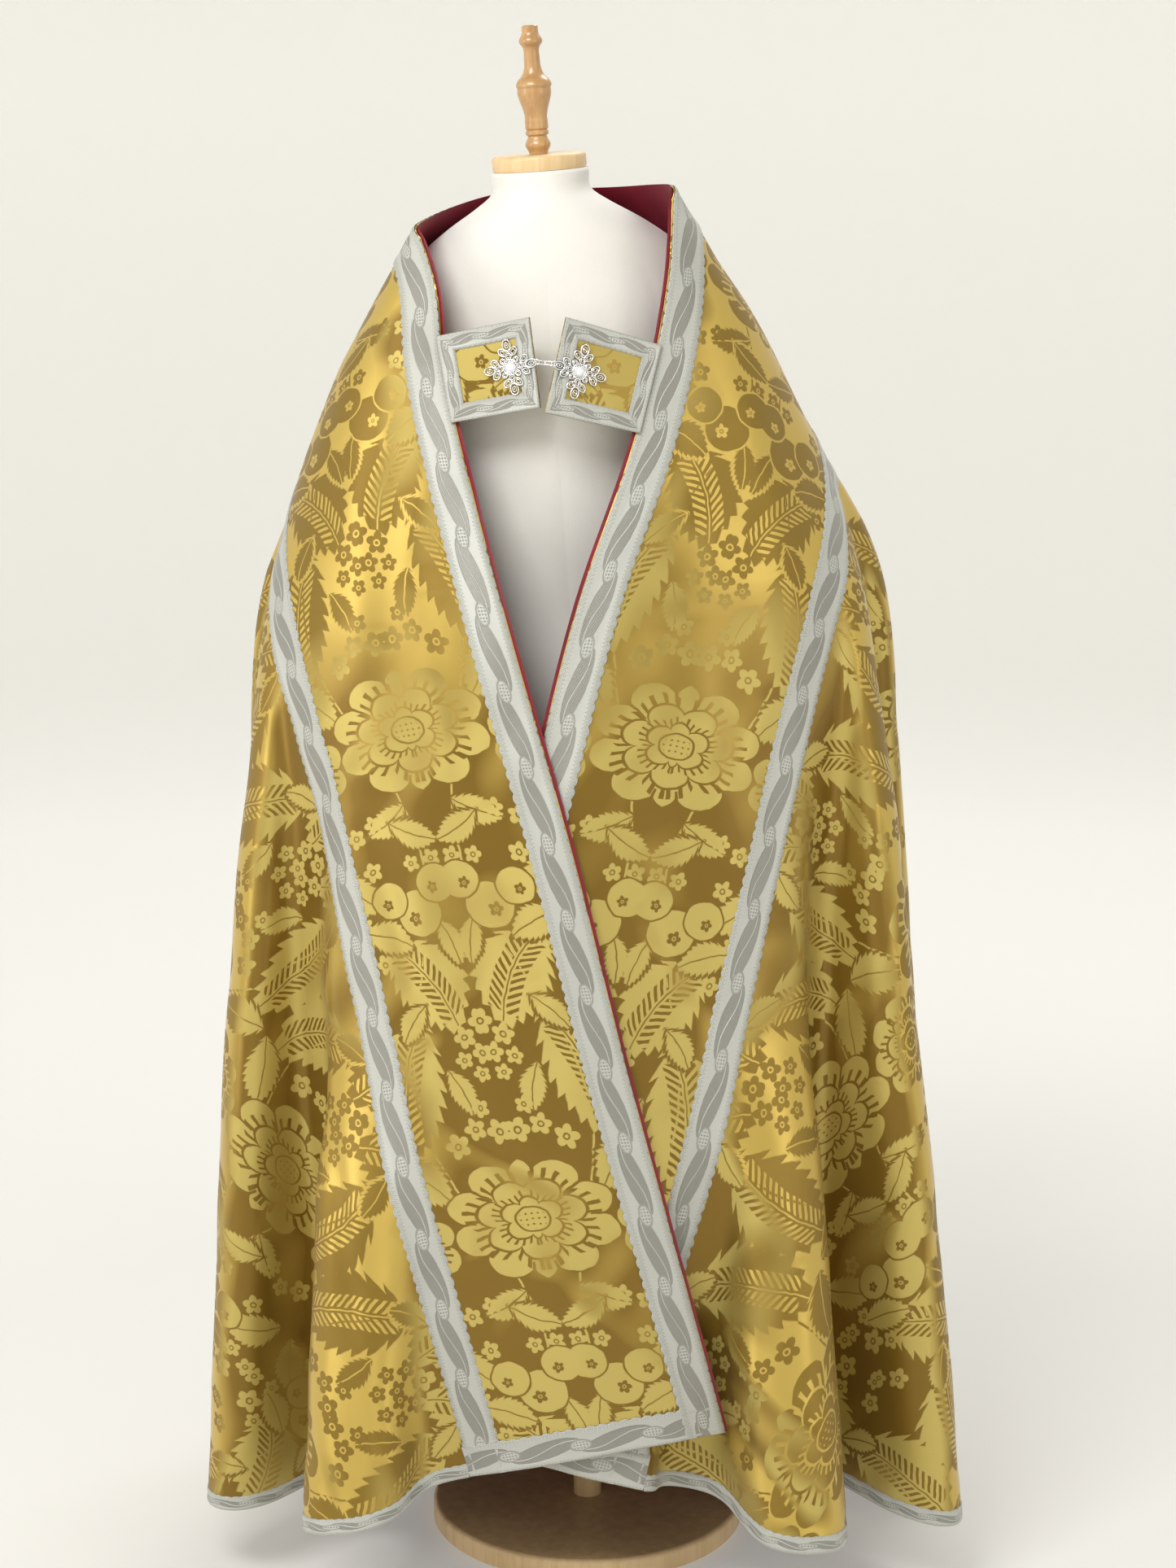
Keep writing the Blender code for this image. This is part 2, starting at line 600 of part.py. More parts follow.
def torso_mesh():
    vertices = []
    for height, half, front, back, middle in TORSO:
        for step in range(TORSO_SIDES):
            turn = 2.0 * math.pi * step / TORSO_SIDES
            depth = front if math.cos(turn) > 0.0 else back
            vertices.append((half * math.sin(turn), middle - depth * math.cos(turn), height))
    rows = len(TORSO)
    faces = []
    for row in range(rows - 1):
        for step in range(TORSO_SIDES):
            here = row * TORSO_SIDES + step
            there = row * TORSO_SIDES + (step + 1) % TORSO_SIDES
            faces.append((here, there, there + TORSO_SIDES, here + TORSO_SIDES))
    faces.append(tuple(range(TORSO_SIDES)))
    faces.append(tuple((rows - 1) * TORSO_SIDES + step for step in range(TORSO_SIDES)))
    return mesh_from("form_torso", vertices, faces)


def turned(name, profile, spec, sides):
    """A solid of revolution about Z, its outer profile given from top to bottom."""
    mesh = bpy.data.meshes.new(name)
    points = [(0.0, 0.0, profile[0][1])] + [(r, 0.0, z) for r, z in profile] + [(0.0, 0.0, profile[-1][1])]
    mesh.from_pydata(points, [(i, i + 1) for i in range(len(points) - 1)], [])
    item = bpy.data.objects.new(name, mesh)
    COLLECTION.objects.link(item)
    screw = item.modifiers.new("turn", "SCREW")
    screw.steps = sides
    screw.render_steps = sides
    screw.use_merge_vertices = True
    screw.merge_threshold = 0.00005
    mesh.materials.append(material(spec))
    return item


def build_form():
    """The dress form: torso, neck cap and finial lean together on an upright pole."""
    torso = add_object("form_torso", torso_mesh(), JERSEY, 50.0)
    pivot = Vector((0.0, 0.0, TORSO_BOTTOM))
    lean = Matrix.Translation(pivot) @ Matrix.Rotation(-FORM_TILT, 4, "Y") @ Matrix.Translation(-pivot)
    lift = form_lift(torso, lean)
    lean = Matrix.Translation((0.0, 0.0, lift)) @ lean
    torso.matrix_world = lean
    neck_top = TORSO[-1]
    cap_at = Vector((0.0, neck_top[4], neck_top[0] + SEAM_GAP))
    round_edge = 0.004
    cap = turned("neck_cap", (
        (NECK_CAP_RADIUS - round_edge, NECK_CAP_THICK),
        (NECK_CAP_RADIUS - 0.001, NECK_CAP_THICK - 0.002),
        (NECK_CAP_RADIUS, NECK_CAP_THICK - round_edge),
        (NECK_CAP_RADIUS, 0.0)), PALE_WOOD, 28)
    cap.matrix_world = lean @ Matrix.Translation(cap_at)
    finial = turned("finial", FINIAL_PROFILE, BEECH, FINIAL_SIDES)
    finial.matrix_world = lean @ Matrix.Translation(cap_at + Vector((0.0, 0.0, NECK_CAP_THICK + SEAM_GAP)))
    build_stand(lift)


def form_lift(torso, lean):
    """How far the form rises until it carries the cope on its shoulders."""
    cloth = [bpy.data.objects[name] for name in
             ("cope_body_left", "cope_body_right", "orphrey_left", "orphrey_right",
              "lining_left", "lining_right")]
    lowest = 1.0
    corners = [lean @ vertex.co for vertex in torso.data.vertices]
    polygons = [tuple(face.vertices) for face in torso.data.polygons]
    form_tree = BVHTree.FromPolygons(corners, polygons)
    for item in cloth:
        places = [vertex.co.copy() for vertex in item.data.vertices]
        tree = BVHTree.FromPolygons(places, [tuple(face.vertices) for face in item.data.polygons])
        for corner in corners:
            hit = tree.ray_cast(corner, Vector((0.0, 0.0, 1.0)))
            if hit[0] is not None:
                lowest = min(lowest, hit[3])
        for place in places:
            hit = form_tree.ray_cast(place, Vector((0.0, 0.0, -1.0)))
            if hit[0] is not None:
                lowest = min(lowest, hit[3])
    return lowest - SHOULDER_GAP


def build_stand(lift):
    """Pole and round base under the torso."""
    edge = 0.006
    base = turned("base", (
        (BASE_RADIUS - edge, BASE_THICK), (BASE_RADIUS - 0.0015, BASE_THICK - 0.002),
        (BASE_RADIUS, BASE_THICK - edge), (BASE_RADIUS, 0.0)), PALE_WOOD, 48)
    base.location = (0.0, 0.0, 0.0)
    bottom = BASE_THICK + SEAM_GAP
    slope = math.tan(FORM_TILT) * POLE_RADIUS
    top = TORSO_BOTTOM + lift - slope - SEAM_GAP
    pole = turned("pole", ((POLE_RADIUS, top - bottom), (POLE_RADIUS, 0.0)), PALE_WOOD, 20)
    pole.location = (0.0, 0.0, bottom)


def main():
    build_cope()
    build_morse()
    build_form()


clear_scene()
COLLECTION = bpy.data.collections.new("cope_vestment")
bpy.context.scene.collection.children.link(COLLECTION)
TABLES = {name: build_table(name) for name in SIDES}
main()
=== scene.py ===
"""Look of the cope vestment: woven shells on the solids' form, braid, clasp, dress form and set.

The worn surface is the one of the solids: a point is given in the flat cut, `along` the straight
edge from the centre back and `across` from that edge, and carried to its place by level sections.
"""

import math

import bmesh
import bpy
import numpy as np
from mathutils import Matrix, Vector


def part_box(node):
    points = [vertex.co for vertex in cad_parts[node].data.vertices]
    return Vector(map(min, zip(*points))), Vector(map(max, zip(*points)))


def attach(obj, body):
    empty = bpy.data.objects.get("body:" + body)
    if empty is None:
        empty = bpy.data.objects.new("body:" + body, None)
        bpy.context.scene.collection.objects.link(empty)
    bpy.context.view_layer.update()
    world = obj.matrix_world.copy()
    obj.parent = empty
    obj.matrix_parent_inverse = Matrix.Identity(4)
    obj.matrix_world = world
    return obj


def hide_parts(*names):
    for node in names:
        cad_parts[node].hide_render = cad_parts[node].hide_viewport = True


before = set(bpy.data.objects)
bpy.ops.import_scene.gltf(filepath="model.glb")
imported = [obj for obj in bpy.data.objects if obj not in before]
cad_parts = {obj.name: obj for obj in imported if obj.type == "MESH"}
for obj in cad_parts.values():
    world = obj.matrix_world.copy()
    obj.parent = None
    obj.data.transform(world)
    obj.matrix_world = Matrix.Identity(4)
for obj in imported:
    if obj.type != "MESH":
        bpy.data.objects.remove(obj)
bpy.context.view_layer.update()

# Cut and worn shape, the same values as the solids have
NECK_HALF = 0.220
CORNER_RADIUS = 1.540
HEM_RADIUS = 1.645
HEM_TURN = 24.0
ORPHREY = 0.2860
WALL = 0.0020
EDGE_GALLOON = 0.0440
SEAM_GALLOON = 0.0380
HEM_GALLOON = 0.0170
SECTION_COLUMNS = ("drop", "axis", "half", "middle", "front", "back",
                   "left_height", "right_height", "back_height", "left_edge", "right_edge")
SECTIONS = np.array((
    (0.00, -0.0450, 0.133, -0.100, 0.010, 0.145, 1.494, 1.534, 1.523, -0.178, 0.088),
    (0.06, -0.0440, 0.166, -0.065, 0.090, 0.145, 1.440, 1.480, 1.473, -0.159, 0.087),
    (0.16, -0.0400, 0.221, -0.020, 0.135, 0.145, 1.348, 1.390, 1.385, -0.149, 0.076),
    (0.28, -0.0350, 0.272, 0.000, 0.170, 0.170, 1.235, 1.280, 1.278, -0.123, 0.049),
    (0.45, -0.0240, 0.331, 0.000, 0.205, 0.215, 1.071, 1.120, 1.120, -0.077, -0.008),
    (0.65, -0.0195, 0.341, 0.000, 0.235, 0.250, 0.875, 0.925, 0.931, -0.021, -0.060),
    (0.90, -0.0180, 0.347, 0.000, 0.265, 0.280, 0.629, 0.680, 0.693, 0.040, -0.119),
    (1.20, -0.0110, 0.350, 0.000, 0.295, 0.310, 0.335, 0.370, 0.415, 0.117, -0.188),
    (1.645, 0.0000, 0.343, 0.000, 0.320, 0.330, -0.073, -0.083, 0.048, 0.221, -0.282),
))
# Folds: angle round from the front, reach, lean, drop of its start
FOLDS = {
    "left": np.array((
        (18.0, 0.000, 0.000, 0.80), (44.0, 0.132, -0.057, 0.85), (58.0, -0.055, 0.000, 0.45),
        (74.0, 0.108, -0.060, 0.30), (92.0, -0.085, 0.000, 0.25), (104.0, 0.075, 0.000, 0.20),
        (117.0, -0.090, 0.000, 0.22), (129.0, 0.080, 0.000, 0.18), (140.0, -0.090, 0.000, 0.22),
        (151.0, 0.075, 0.000, 0.18), (163.0, -0.095, 0.000, 0.22), (180.0, 0.070, 0.000, 0.20),
    )),
    "right": np.array((
        (10.0, 0.000, 0.000, 0.80), (19.0, -0.045, 0.000, 0.95), (43.0, 0.122, -0.062, 0.85),
        (56.0, -0.065, 0.000, 0.45), (67.0, 0.130, -0.050, 0.30), (84.0, -0.085, 0.000, 0.25),
        (98.0, 0.085, 0.000, 0.20), (111.0, -0.090, 0.000, 0.22), (123.0, 0.080, 0.000, 0.18),
        (135.0, -0.090, 0.000, 0.22), (147.0, 0.080, 0.000, 0.18), (161.0, -0.095, 0.000, 0.22),
        (180.0, 0.070, 0.000, 0.20),
    )),
}
FULL_DROP = 1.50
ROUNDNESS = 0.18
ROUND_REACH = 0.08
ROUND_PITCH = 0.085
FREE_ANGLE = 78.0
LAYER = 0.0075
RIGHT_SAG = 0.045
SIDES = {"left": -1.0, "right": 1.0}
CENTRE_BACK = 179.999      # the last column of either half, in degrees
LEVELS = 120
SAMPLES = 480

# Creases of the worn cloth, seen from the front: ends, width and how far they stand out
CREASES = {
    "left": np.array((
        # x0, z0, x1, z1, width, reach
        (-0.250, 1.330, -0.225, 0.930, 0.022, 0.0030),
        (-0.190, 1.380, -0.215, 1.080, 0.018, -0.0025),
        (-0.170, 1.120, -0.120, 0.860, 0.020, 0.0030),
        (-0.230, 0.860, -0.170, 0.660, 0.016, -0.0030),
        (-0.120, 0.900, -0.050, 0.720, 0.022, -0.0026),
        (-0.220, 0.600, -0.130, 0.420, 0.020, 0.0028),
        (-0.140, 0.560, -0.020, 0.500, 0.018, -0.0022),
        (-0.300, 0.800, -0.290, 0.420, 0.014, 0.0034),
        (-0.280, 0.560, -0.240, 0.300, 0.013, -0.0032),
        (-0.060, 0.420, 0.060, 0.300, 0.022, 0.0026),
        (-0.240, 0.350, -0.190, 0.120, 0.018, 0.0034),
        (-0.310, 0.260, -0.250, 0.090, 0.016, -0.0034),
    )),
    "right": np.array((
        (0.150, 1.370, 0.230, 1.060, 0.020, 0.0030),
        (0.200, 1.300, 0.280, 1.140, 0.016, -0.0026),
        (0.100, 1.090, 0.150, 0.840, 0.022, 0.0030),
        (0.200, 1.000, 0.190, 0.760, 0.018, -0.0028),
        (0.060, 0.800, 0.160, 0.640, 0.020, -0.0024),
        (0.120, 0.560, 0.230, 0.440, 0.022, 0.0032),
        (0.270, 0.860, 0.290, 0.460, 0.013, 0.0034),
        (0.320, 0.900, 0.330, 0.500, 0.013, -0.0030),
        (0.140, 0.330, 0.260, 0.230, 0.020, 0.0038),
        (0.150, 0.240, 0.270, 0.120, 0.018, -0.0036),
        (0.330, 0.420, 0.350, 0.140, 0.014, 0.0034),
        (0.230, 0.420, 0.260, 0.100, 0.016, 0.0030),
    )),
}

# Camera of the photo
CAMERA = (0.0007, -3.600, 1.705)
CAMERA_PITCH = 77.0
CAMERA_LENS = 76.22


def smooth_step(value):
    value = np.clip(value, 0.0, 1.0)
    return value * value * (3.0 - 2.0 * value)


def section_value(column, drop):
    knots = SECTIONS[:, 0]
    values = SECTIONS[:, SECTION_COLUMNS.index(column)]
    slopes = np.gradient(values, knots)
    row = np.clip(np.searchsorted(knots, drop) - 1, 0, len(knots) - 2)
    span = knots[row + 1] - knots[row]
    part = (drop - knots[row]) / span
    rest = 1.0 - part
    return ((1.0 + 2.0 * part) * rest ** 2 * values[row] + part * rest ** 2 * span * slopes[row]
            + part ** 2 * (3.0 - 2.0 * part) * values[row + 1]
            - part ** 2 * rest * span * slopes[row + 1])


def fold_growth(drop, start):
    part = np.clip((drop - start) / (FULL_DROP - start), 0.0, None)
    return part * smooth_step(part / 0.35)


def fold_shift(side, angle, drop):
    rows = FOLDS[side]
    row = np.clip(np.searchsorted(rows[:, 0], angle) - 1, 0, len(rows) - 2)
    turn = rows[row + 1, 0] - rows[row, 0]
    part = np.clip((angle - rows[row, 0]) / turn, 0.0, 1.0)
    wave = (1.0 - np.cos(np.pi * part)) / 2.0
    first = fold_growth(drop, rows[row, 3])
    second = fold_growth(drop, rows[row + 1, 3])
    rise = rows[row + 1, 1] * second - rows[row, 1] * first
    reach = rows[row, 1] * first + rise * wave
    lean = rows[row, 2] * first + (rows[row + 1, 2] * second - rows[row, 2] * first) * wave
    pitch = np.minimum(np.radians(turn) * section_value("half", drop), ROUND_PITCH)
    swell = ROUNDNESS * pitch * np.tanh(np.abs(rise) / ROUND_REACH) * np.sin(2.0 * np.pi * part)
    return reach, lean + swell


def cloth_point(side, angle, drop, spread):
    """The worn surface at an angle round from the front (degrees) and a drop from the neck."""
    sign = SIDES[side]
    half = section_value("half", drop)
    turn = np.radians(angle)
    depth = np.where(angle < 90.0, section_value("front", drop), section_value("back", drop))
    x = section_value("axis", drop) + sign * half * np.sin(turn)
    y = section_value("middle", drop) - depth * np.cos(turn)
    out = np.stack((sign * np.sin(turn) / half, -np.cos(turn) / depth), -1)
    out /= np.linalg.norm(out, axis=-1, keepdims=True)
    round_ = np.stack((sign * np.cos(turn) * half, np.sin(turn) * depth), -1)
    round_ /= np.linalg.norm(round_, axis=-1, keepdims=True)
    reach, lean = fold_shift(side, angle, drop)
    free = smooth_step((angle - FREE_ANGLE) / 12.0) * smooth_step((180.0 - angle) / 18.0)
    reach = reach * (1.0 + (spread - 1.0) * free)
    overlap = smooth_step((40.0 - angle) / 25.0) * smooth_step((drop - 0.3) / 0.2)
    reach = reach - sign * LAYER * overlap
    height = section_value(side + "_height", drop)
    behind = np.where(angle > 90.0, np.cos(turn) ** 2, 0.0)
    height = height + (section_value("back_height", drop) - height) * behind
    if side == "right":
        height = height - RIGHT_SAG * smooth_step((60.0 - angle) / 50.0) * (drop / FULL_DROP) ** 2
    place = np.stack((x, y, height), -1)
    place[..., :2] += out * reach[..., None] + round_ * lean[..., None]
    return place


def edge_angle(side, drop):
    offset = section_value(side + "_edge", drop) - section_value("axis", drop)
    return np.degrees(np.arcsin(np.clip(SIDES[side] * offset / section_value("half", drop), -1.0, 1.0)))


def flat_place(drop, run):
    bend = run / np.maximum(drop, 1e-9)
    around = bend < math.pi / 2.0
    along = np.where(around, NECK_HALF + drop * np.cos(bend), NECK_HALF - run + math.pi * drop / 2.0)
    across = np.where(around, drop * np.sin(bend), drop)
    return along, across


def hem_radius(along, across):
    turn = np.degrees(np.arctan2(across, along))
    return CORNER_RADIUS + (HEM_RADIUS - CORNER_RADIUS) * smooth_step(turn / HEM_TURN)


def build_table(side):
    drops = np.linspace(0.0, HEM_RADIUS, LEVELS)
    cut = NECK_HALF + math.pi * drops / 2.0
    start = edge_angle(side, drops)[:, None]
    angles = start + (180.0 - start) * np.linspace(0.0, 1.0, SAMPLES)[None, :]
    levels = np.broadcast_to(drops[:, None], angles.shape)

    def runs(spread):
        places = cloth_point(side, angles, levels, spread[:, None])
        steps = np.linalg.norm(np.diff(places, axis=1), axis=2)
        return np.concatenate((np.zeros((LEVELS, 1)), np.cumsum(steps, axis=1)), axis=1)

    low = np.zeros(LEVELS)
    high = np.full(LEVELS, 3.0)
    for _ in range(18):
        spread = (low + high) / 2.0
        short = runs(spread)[:, -1] < cut
        low = np.where(short, spread, low)
        high = np.where(short, high, spread)
    spread = (low + high) / 2.0
    run = runs(spread)
    length = run[:, -1:]
    part = np.clip((run - 0.5 * length) / (0.5 * length), 0.0, 1.0)
    run = run + (cut[:, None] - length) * part ** 2 * (2.0 - part)
    along, across = flat_place(levels, run)
    return {"drops": drops, "angles": angles, "run": run, "cut": cut, "spread": spread,
            "along": along, "across": across}


TABLES = {name: build_table(name) for name in SIDES}


def between_levels(side, drop, read):
    """A value read from the two table rows on either side of each drop, blended."""
    drop = np.asarray(drop, dtype=float)
    level = np.clip(drop / HEM_RADIUS * (LEVELS - 1), 0.0, LEVELS - 1.0001)
    rows = level.astype(int)
    near = np.empty(drop.shape)
    far = np.empty(drop.shape)
    for row in np.unique(rows):
        mask = rows == row
        near[mask] = read(TABLES[side], row, mask)
        far[mask] = read(TABLES[side], row + 1, mask)
    return near + (far - near) * (level - rows)


def angle_at(side, along, across):
    past = np.maximum(along - NECK_HALF, 0.0)
    drop = np.hypot(past, across)
    run = np.where(along > NECK_HALF, drop * np.arctan2(across, past),
                   math.pi * drop / 2.0 + NECK_HALF - along)
    share = run / (NECK_HALF + math.pi * drop / 2.0)

    def read(table, row, mask):
        return np.interp(share[mask], table["run"][row] / table["cut"][row], table["angles"][row])

    return between_levels(side, drop, read), drop


def flat_at(side, angle, drop):
    """Along and across in the cut of points given by angle and drop."""

    def read(table, row, mask):
        return np.interp(angle[mask], table["angles"][row], table["run"][row] / table["cut"][row])

    share = between_levels(side, drop, read)
    return flat_place(drop, share * (NECK_HALF + math.pi * drop / 2.0))


def creases(side, point, angle):
    """How far the cloth's creases push it out."""
    front = smooth_step((115.0 - angle) / 30.0)
    total = np.zeros(angle.shape)
    x, z = point[..., 0], point[..., 2]
    for x0, z0, x1, z1, width, reach in CREASES[side]:
        length2 = (x1 - x0) ** 2 + (z1 - z0) ** 2
        part = ((x - x0) * (x1 - x0) + (z - z0) * (z1 - z0)) / length2
        held = np.clip(part, 0.0, 1.0)
        away = np.hypot(x - x0 - held * (x1 - x0), z - z0 - held * (z1 - z0))
        fade = np.exp(-(away / width) ** 2) * (0.35 + 0.65 * np.sin(np.pi * np.clip(part, 0.02, 0.98)))
        total += reach * fade
    # Slow unevenness of hanging satin
    total += 0.0009 * np.sin(x * 41.0 + 1.3 * np.sin(z * 9.0)) * np.sin(z * 15.0 + 2.0 * np.sin(x * 7.0))
    total += 0.0006 * np.sin(x * 83.0 - z * 19.0 + 1.7 * np.sin(z * 23.0))
    return total * (0.35 + 0.65 * front)


def smooth(side, angle, drop):
    """Points of the surface that the solids have, and outward normals."""
    table = TABLES[side]

    def at(angles, drops):
        return cloth_point(side, angles, drops, np.interp(drops, table["drops"], table["spread"]))

    point = at(angle, drop)
    turn = at(angle + 0.05, drop) - at(angle - 0.05, drop)
    down = at(angle, drop + 0.001) - at(angle, np.maximum(drop - 0.001, 0.0))
    normal = np.cross(down, turn) * SIDES[side]
    normal /= np.maximum(np.linalg.norm(normal, axis=-1, keepdims=True), 1e-12)
    return point, normal


def worn(side, angle, drop, lift=0.0):
    """The same with the cloth's creases, lifted off it where asked."""
    point, normal = smooth(side, angle, drop)
    out = creases(side, point, angle) + lift
    return point + normal * out[..., None], normal


def worn_flat(side, along, across, lift=0.0):
    angle, drop = angle_at(side, along, across)
    return worn(side, angle, drop, lift)


def hem_along(across):
    along = np.full_like(np.asarray(across, dtype=float), CORNER_RADIUS)
    for _ in range(20):
        along = np.sqrt(hem_radius(along, across) ** 2 - np.asarray(across) ** 2)
    return along


def column_ends(side, angles):
    """Drops at which lines of constant angle leave the orphrey and meet the hem."""
    table = TABLES[side]
    drops = table["drops"]
    along = np.array([np.interp(angles, a, v) for a, v in zip(table["angles"], table["along"])])
    across = np.array([np.interp(angles, a, v) for a, v in zip(table["angles"], table["across"])])
    across = np.where(table["angles"][:, :1] < angles[None, :], across, -1.0)
    past = np.where(across > 0.0, np.hypot(along, across) - hem_radius(along, across), -1.0)
    columns = np.arange(len(angles))
    ends = []
    for values, limit in ((across, ORPHREY), (past, 0.0)):
        row = np.maximum(np.argmax(values > limit, axis=0), 1)
        low, high = values[row - 1, columns], values[row, columns]
        ends.append(drops[row - 1] + (limit - low) / (high - low) * (drops[row] - drops[row - 1]))
    return ends


# Meshes

def new_object(name, mesh, material_):
    item = bpy.data.objects.new(name, mesh)
    bpy.context.scene.collection.objects.link(item)
    if material_:
        mesh.materials.append(material_)
        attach(item, "root")
    return item


def grid_object(name, points, uv, normals, material_):
    """An open sheet from a grid of points, facing the way of its normals."""
    rows, columns = points.shape[:2]
    index = np.arange(rows * columns).reshape(rows, columns)
    quads = np.stack((index[:-1, :-1], index[1:, :-1], index[1:, 1:], index[:-1, 1:]), -1).reshape(-1, 4)
    middle = (rows // 2, columns // 2)
    one = points[middle[0] + 1, middle[1]] - points[middle]
    two = points[middle[0], middle[1] + 1] - points[middle]
    if np.dot(np.cross(one, two), normals[middle]) < 0.0:
        quads = quads[:, ::-1]
    mesh = bpy.data.meshes.new(name)
    mesh.vertices.add(rows * columns)
    mesh.vertices.foreach_set("co", points.reshape(-1).astype(np.float32))
    mesh.loops.add(quads.size)
    mesh.loops.foreach_set("vertex_index", quads.reshape(-1).astype(np.int32))
    mesh.polygons.add(len(quads))
    mesh.polygons.foreach_set("loop_start", np.arange(0, quads.size, 4, dtype=np.int32))
    layer = mesh.uv_layers.new(name="flat")
    layer.data.foreach_set("uv", uv.reshape(-1, 2)[quads.reshape(-1)].reshape(-1).astype(np.float32))
    mesh.update(calc_edges=True)
    mesh.validate()
    mesh.shade_smooth()
    return new_object(name, mesh, material_)


def grids_object(name, pieces, material_):
    """Several grids of points in one object."""
    joined = [grid_object(name + "_" + str(k), p, uv, n, None) for k, (p, uv, n) in enumerate(pieces)]
    work = bmesh.new()
    for item in joined:
        work.from_mesh(item.data)
    mesh = bpy.data.meshes.new(name)
    work.to_mesh(mesh)
    work.free()
    for item in joined:
        bpy.data.objects.remove(item, do_unlink=True)
    mesh.shade_smooth()
    return new_object(name, mesh, material_)


def body_shell(name, columns, rows, lift, material_, under):
    """The body's sheet, both halves in one, from the seam to the hem."""
    parts = []
    for side, sign in SIDES.items():
        corner, _ = angle_at(side, hem_along(np.array([ORPHREY])), np.array([ORPHREY]))
        share = np.linspace(0.0, 1.0, columns)
        angles = corner[0] + 0.25 + (CENTRE_BACK - corner[0] - 0.25) * share
        seam, hem = column_ends(side, angles)
        seam = np.minimum(seam, hem - 0.002)
        down = np.linspace(0.0, 1.0, rows)[:, None]
        drops = seam[None, :] + (hem - seam)[None, :] * down
        angle = np.broadcast_to(angles[None, :], drops.shape)
        point, normal = worn(side, angle, drops, lift)
        along, across = flat_at(side, angle, drops)
        uv = np.stack((sign * along, across), -1)
        if under:
            # The hem turns under, inwards by the thickness of the cloth
            for depth, back in ((0.0012, 0.0), (WALL + 0.0006, 0.0006), (WALL + 0.0006, 0.012)):
                last_point, last_normal = worn(side, angle[-1:], drops[-1:] - back, lift - depth)
                point = np.concatenate((point, last_point))
                normal = np.concatenate((normal, last_normal))
                uv = np.concatenate((uv, uv[-1:] + np.array((0.0, 0.001))))
        parts.append((point, normal, uv))
    left, right = parts
    point = np.concatenate((left[0], right[0][:, -2::-1]), axis=1)
    normal = np.concatenate((left[1], right[1][:, -2::-1]), axis=1)
    uv = np.concatenate((left[2], right[2][:, -2::-1]), axis=1)
    if not under:
        normal = -normal
    return grid_object(name, point, uv, normal, material_)


def orphrey_shell(name, side, along_count, across_count, lift, material_, outer, first=0.0):
    """An orphrey's sheet, or its lining when `outer` is false."""
    across = np.linspace(first, ORPHREY, across_count)
    if outer:
        across = np.concatenate(((0.0, 0.0, 0.0), across, (ORPHREY + 0.002,)))
    lifts = np.full(len(across), lift)
    if outer:
        lifts[:3] = lift - WALL, lift - 0.6 * WALL, lift - 0.25 * WALL
        across[1:3] = -0.0006
        lifts[-1] = lift - 0.0006
    held = np.clip(across, 0.0, None)
    top = hem_along(held)
    share = np.linspace(0.0, 1.0, along_count)[:, None]
    along = share * top[None, :]
    wide = np.broadcast_to(held[None, :], along.shape)
    lift_grid = np.broadcast_to(lifts[None, :], along.shape)
    point, normal = worn_flat(side, along, wide, lift_grid)
    if outer:
        beyond = point[:, 3] - point[:, 6]
        beyond /= np.linalg.norm(beyond, axis=-1, keepdims=True)
        for column in (1, 2):
            point[:, column] += beyond * 0.0006
        for depth, back in ((0.5 * WALL, 0.0), (WALL, 0.0005), (WALL, 0.010)):
            row, row_normal = worn_flat(side, along[-1:] - back, wide[-1:], lift_grid[-1:] - depth)
            point = np.concatenate((point, row))
            normal = np.concatenate((normal, row_normal))
            along = np.concatenate((along, along[-1:] + 0.0005))
            wide = np.concatenate((wide, wide[-1:]))
    else:
        beyond = point[:, 0] - point[:, 2]
        beyond /= np.linalg.norm(beyond, axis=-1, keepdims=True)
        strip = point[:, :1] + beyond[:, None] * 0.0042
        point = np.concatenate((strip, point), axis=1)
        normal = -np.concatenate((normal[:, :1], normal), axis=1)
        along = np.concatenate((along[:, :1], along), axis=1)
        wide = np.concatenate((wide[:, :1] - 0.0042, wide), axis=1)
    uv = np.stack((wide - ORPHREY / 2.0, along), -1)
    return grid_object(name, point, uv, normal, material_)


def scallop(place, pitch=0.0125, depth=0.0024):
    return depth * (np.abs(np.sin(np.pi * place / pitch)) - 0.35)


def braid_columns():
    """Shares across a braid and how far each stands off the cloth: rounded, corded borders."""
    share = np.array((0.0, 0.02, 0.07, 0.13, 0.20, 0.35, 0.5, 0.65, 0.80, 0.87, 0.93, 0.98, 1.0))
    height = np.array((0.0, 0.7, 1.15, 1.2, 0.75, 0.8, 0.85, 0.8, 0.75, 1.2, 1.15, 0.7, 0.0)) * 0.0011
    return share, height


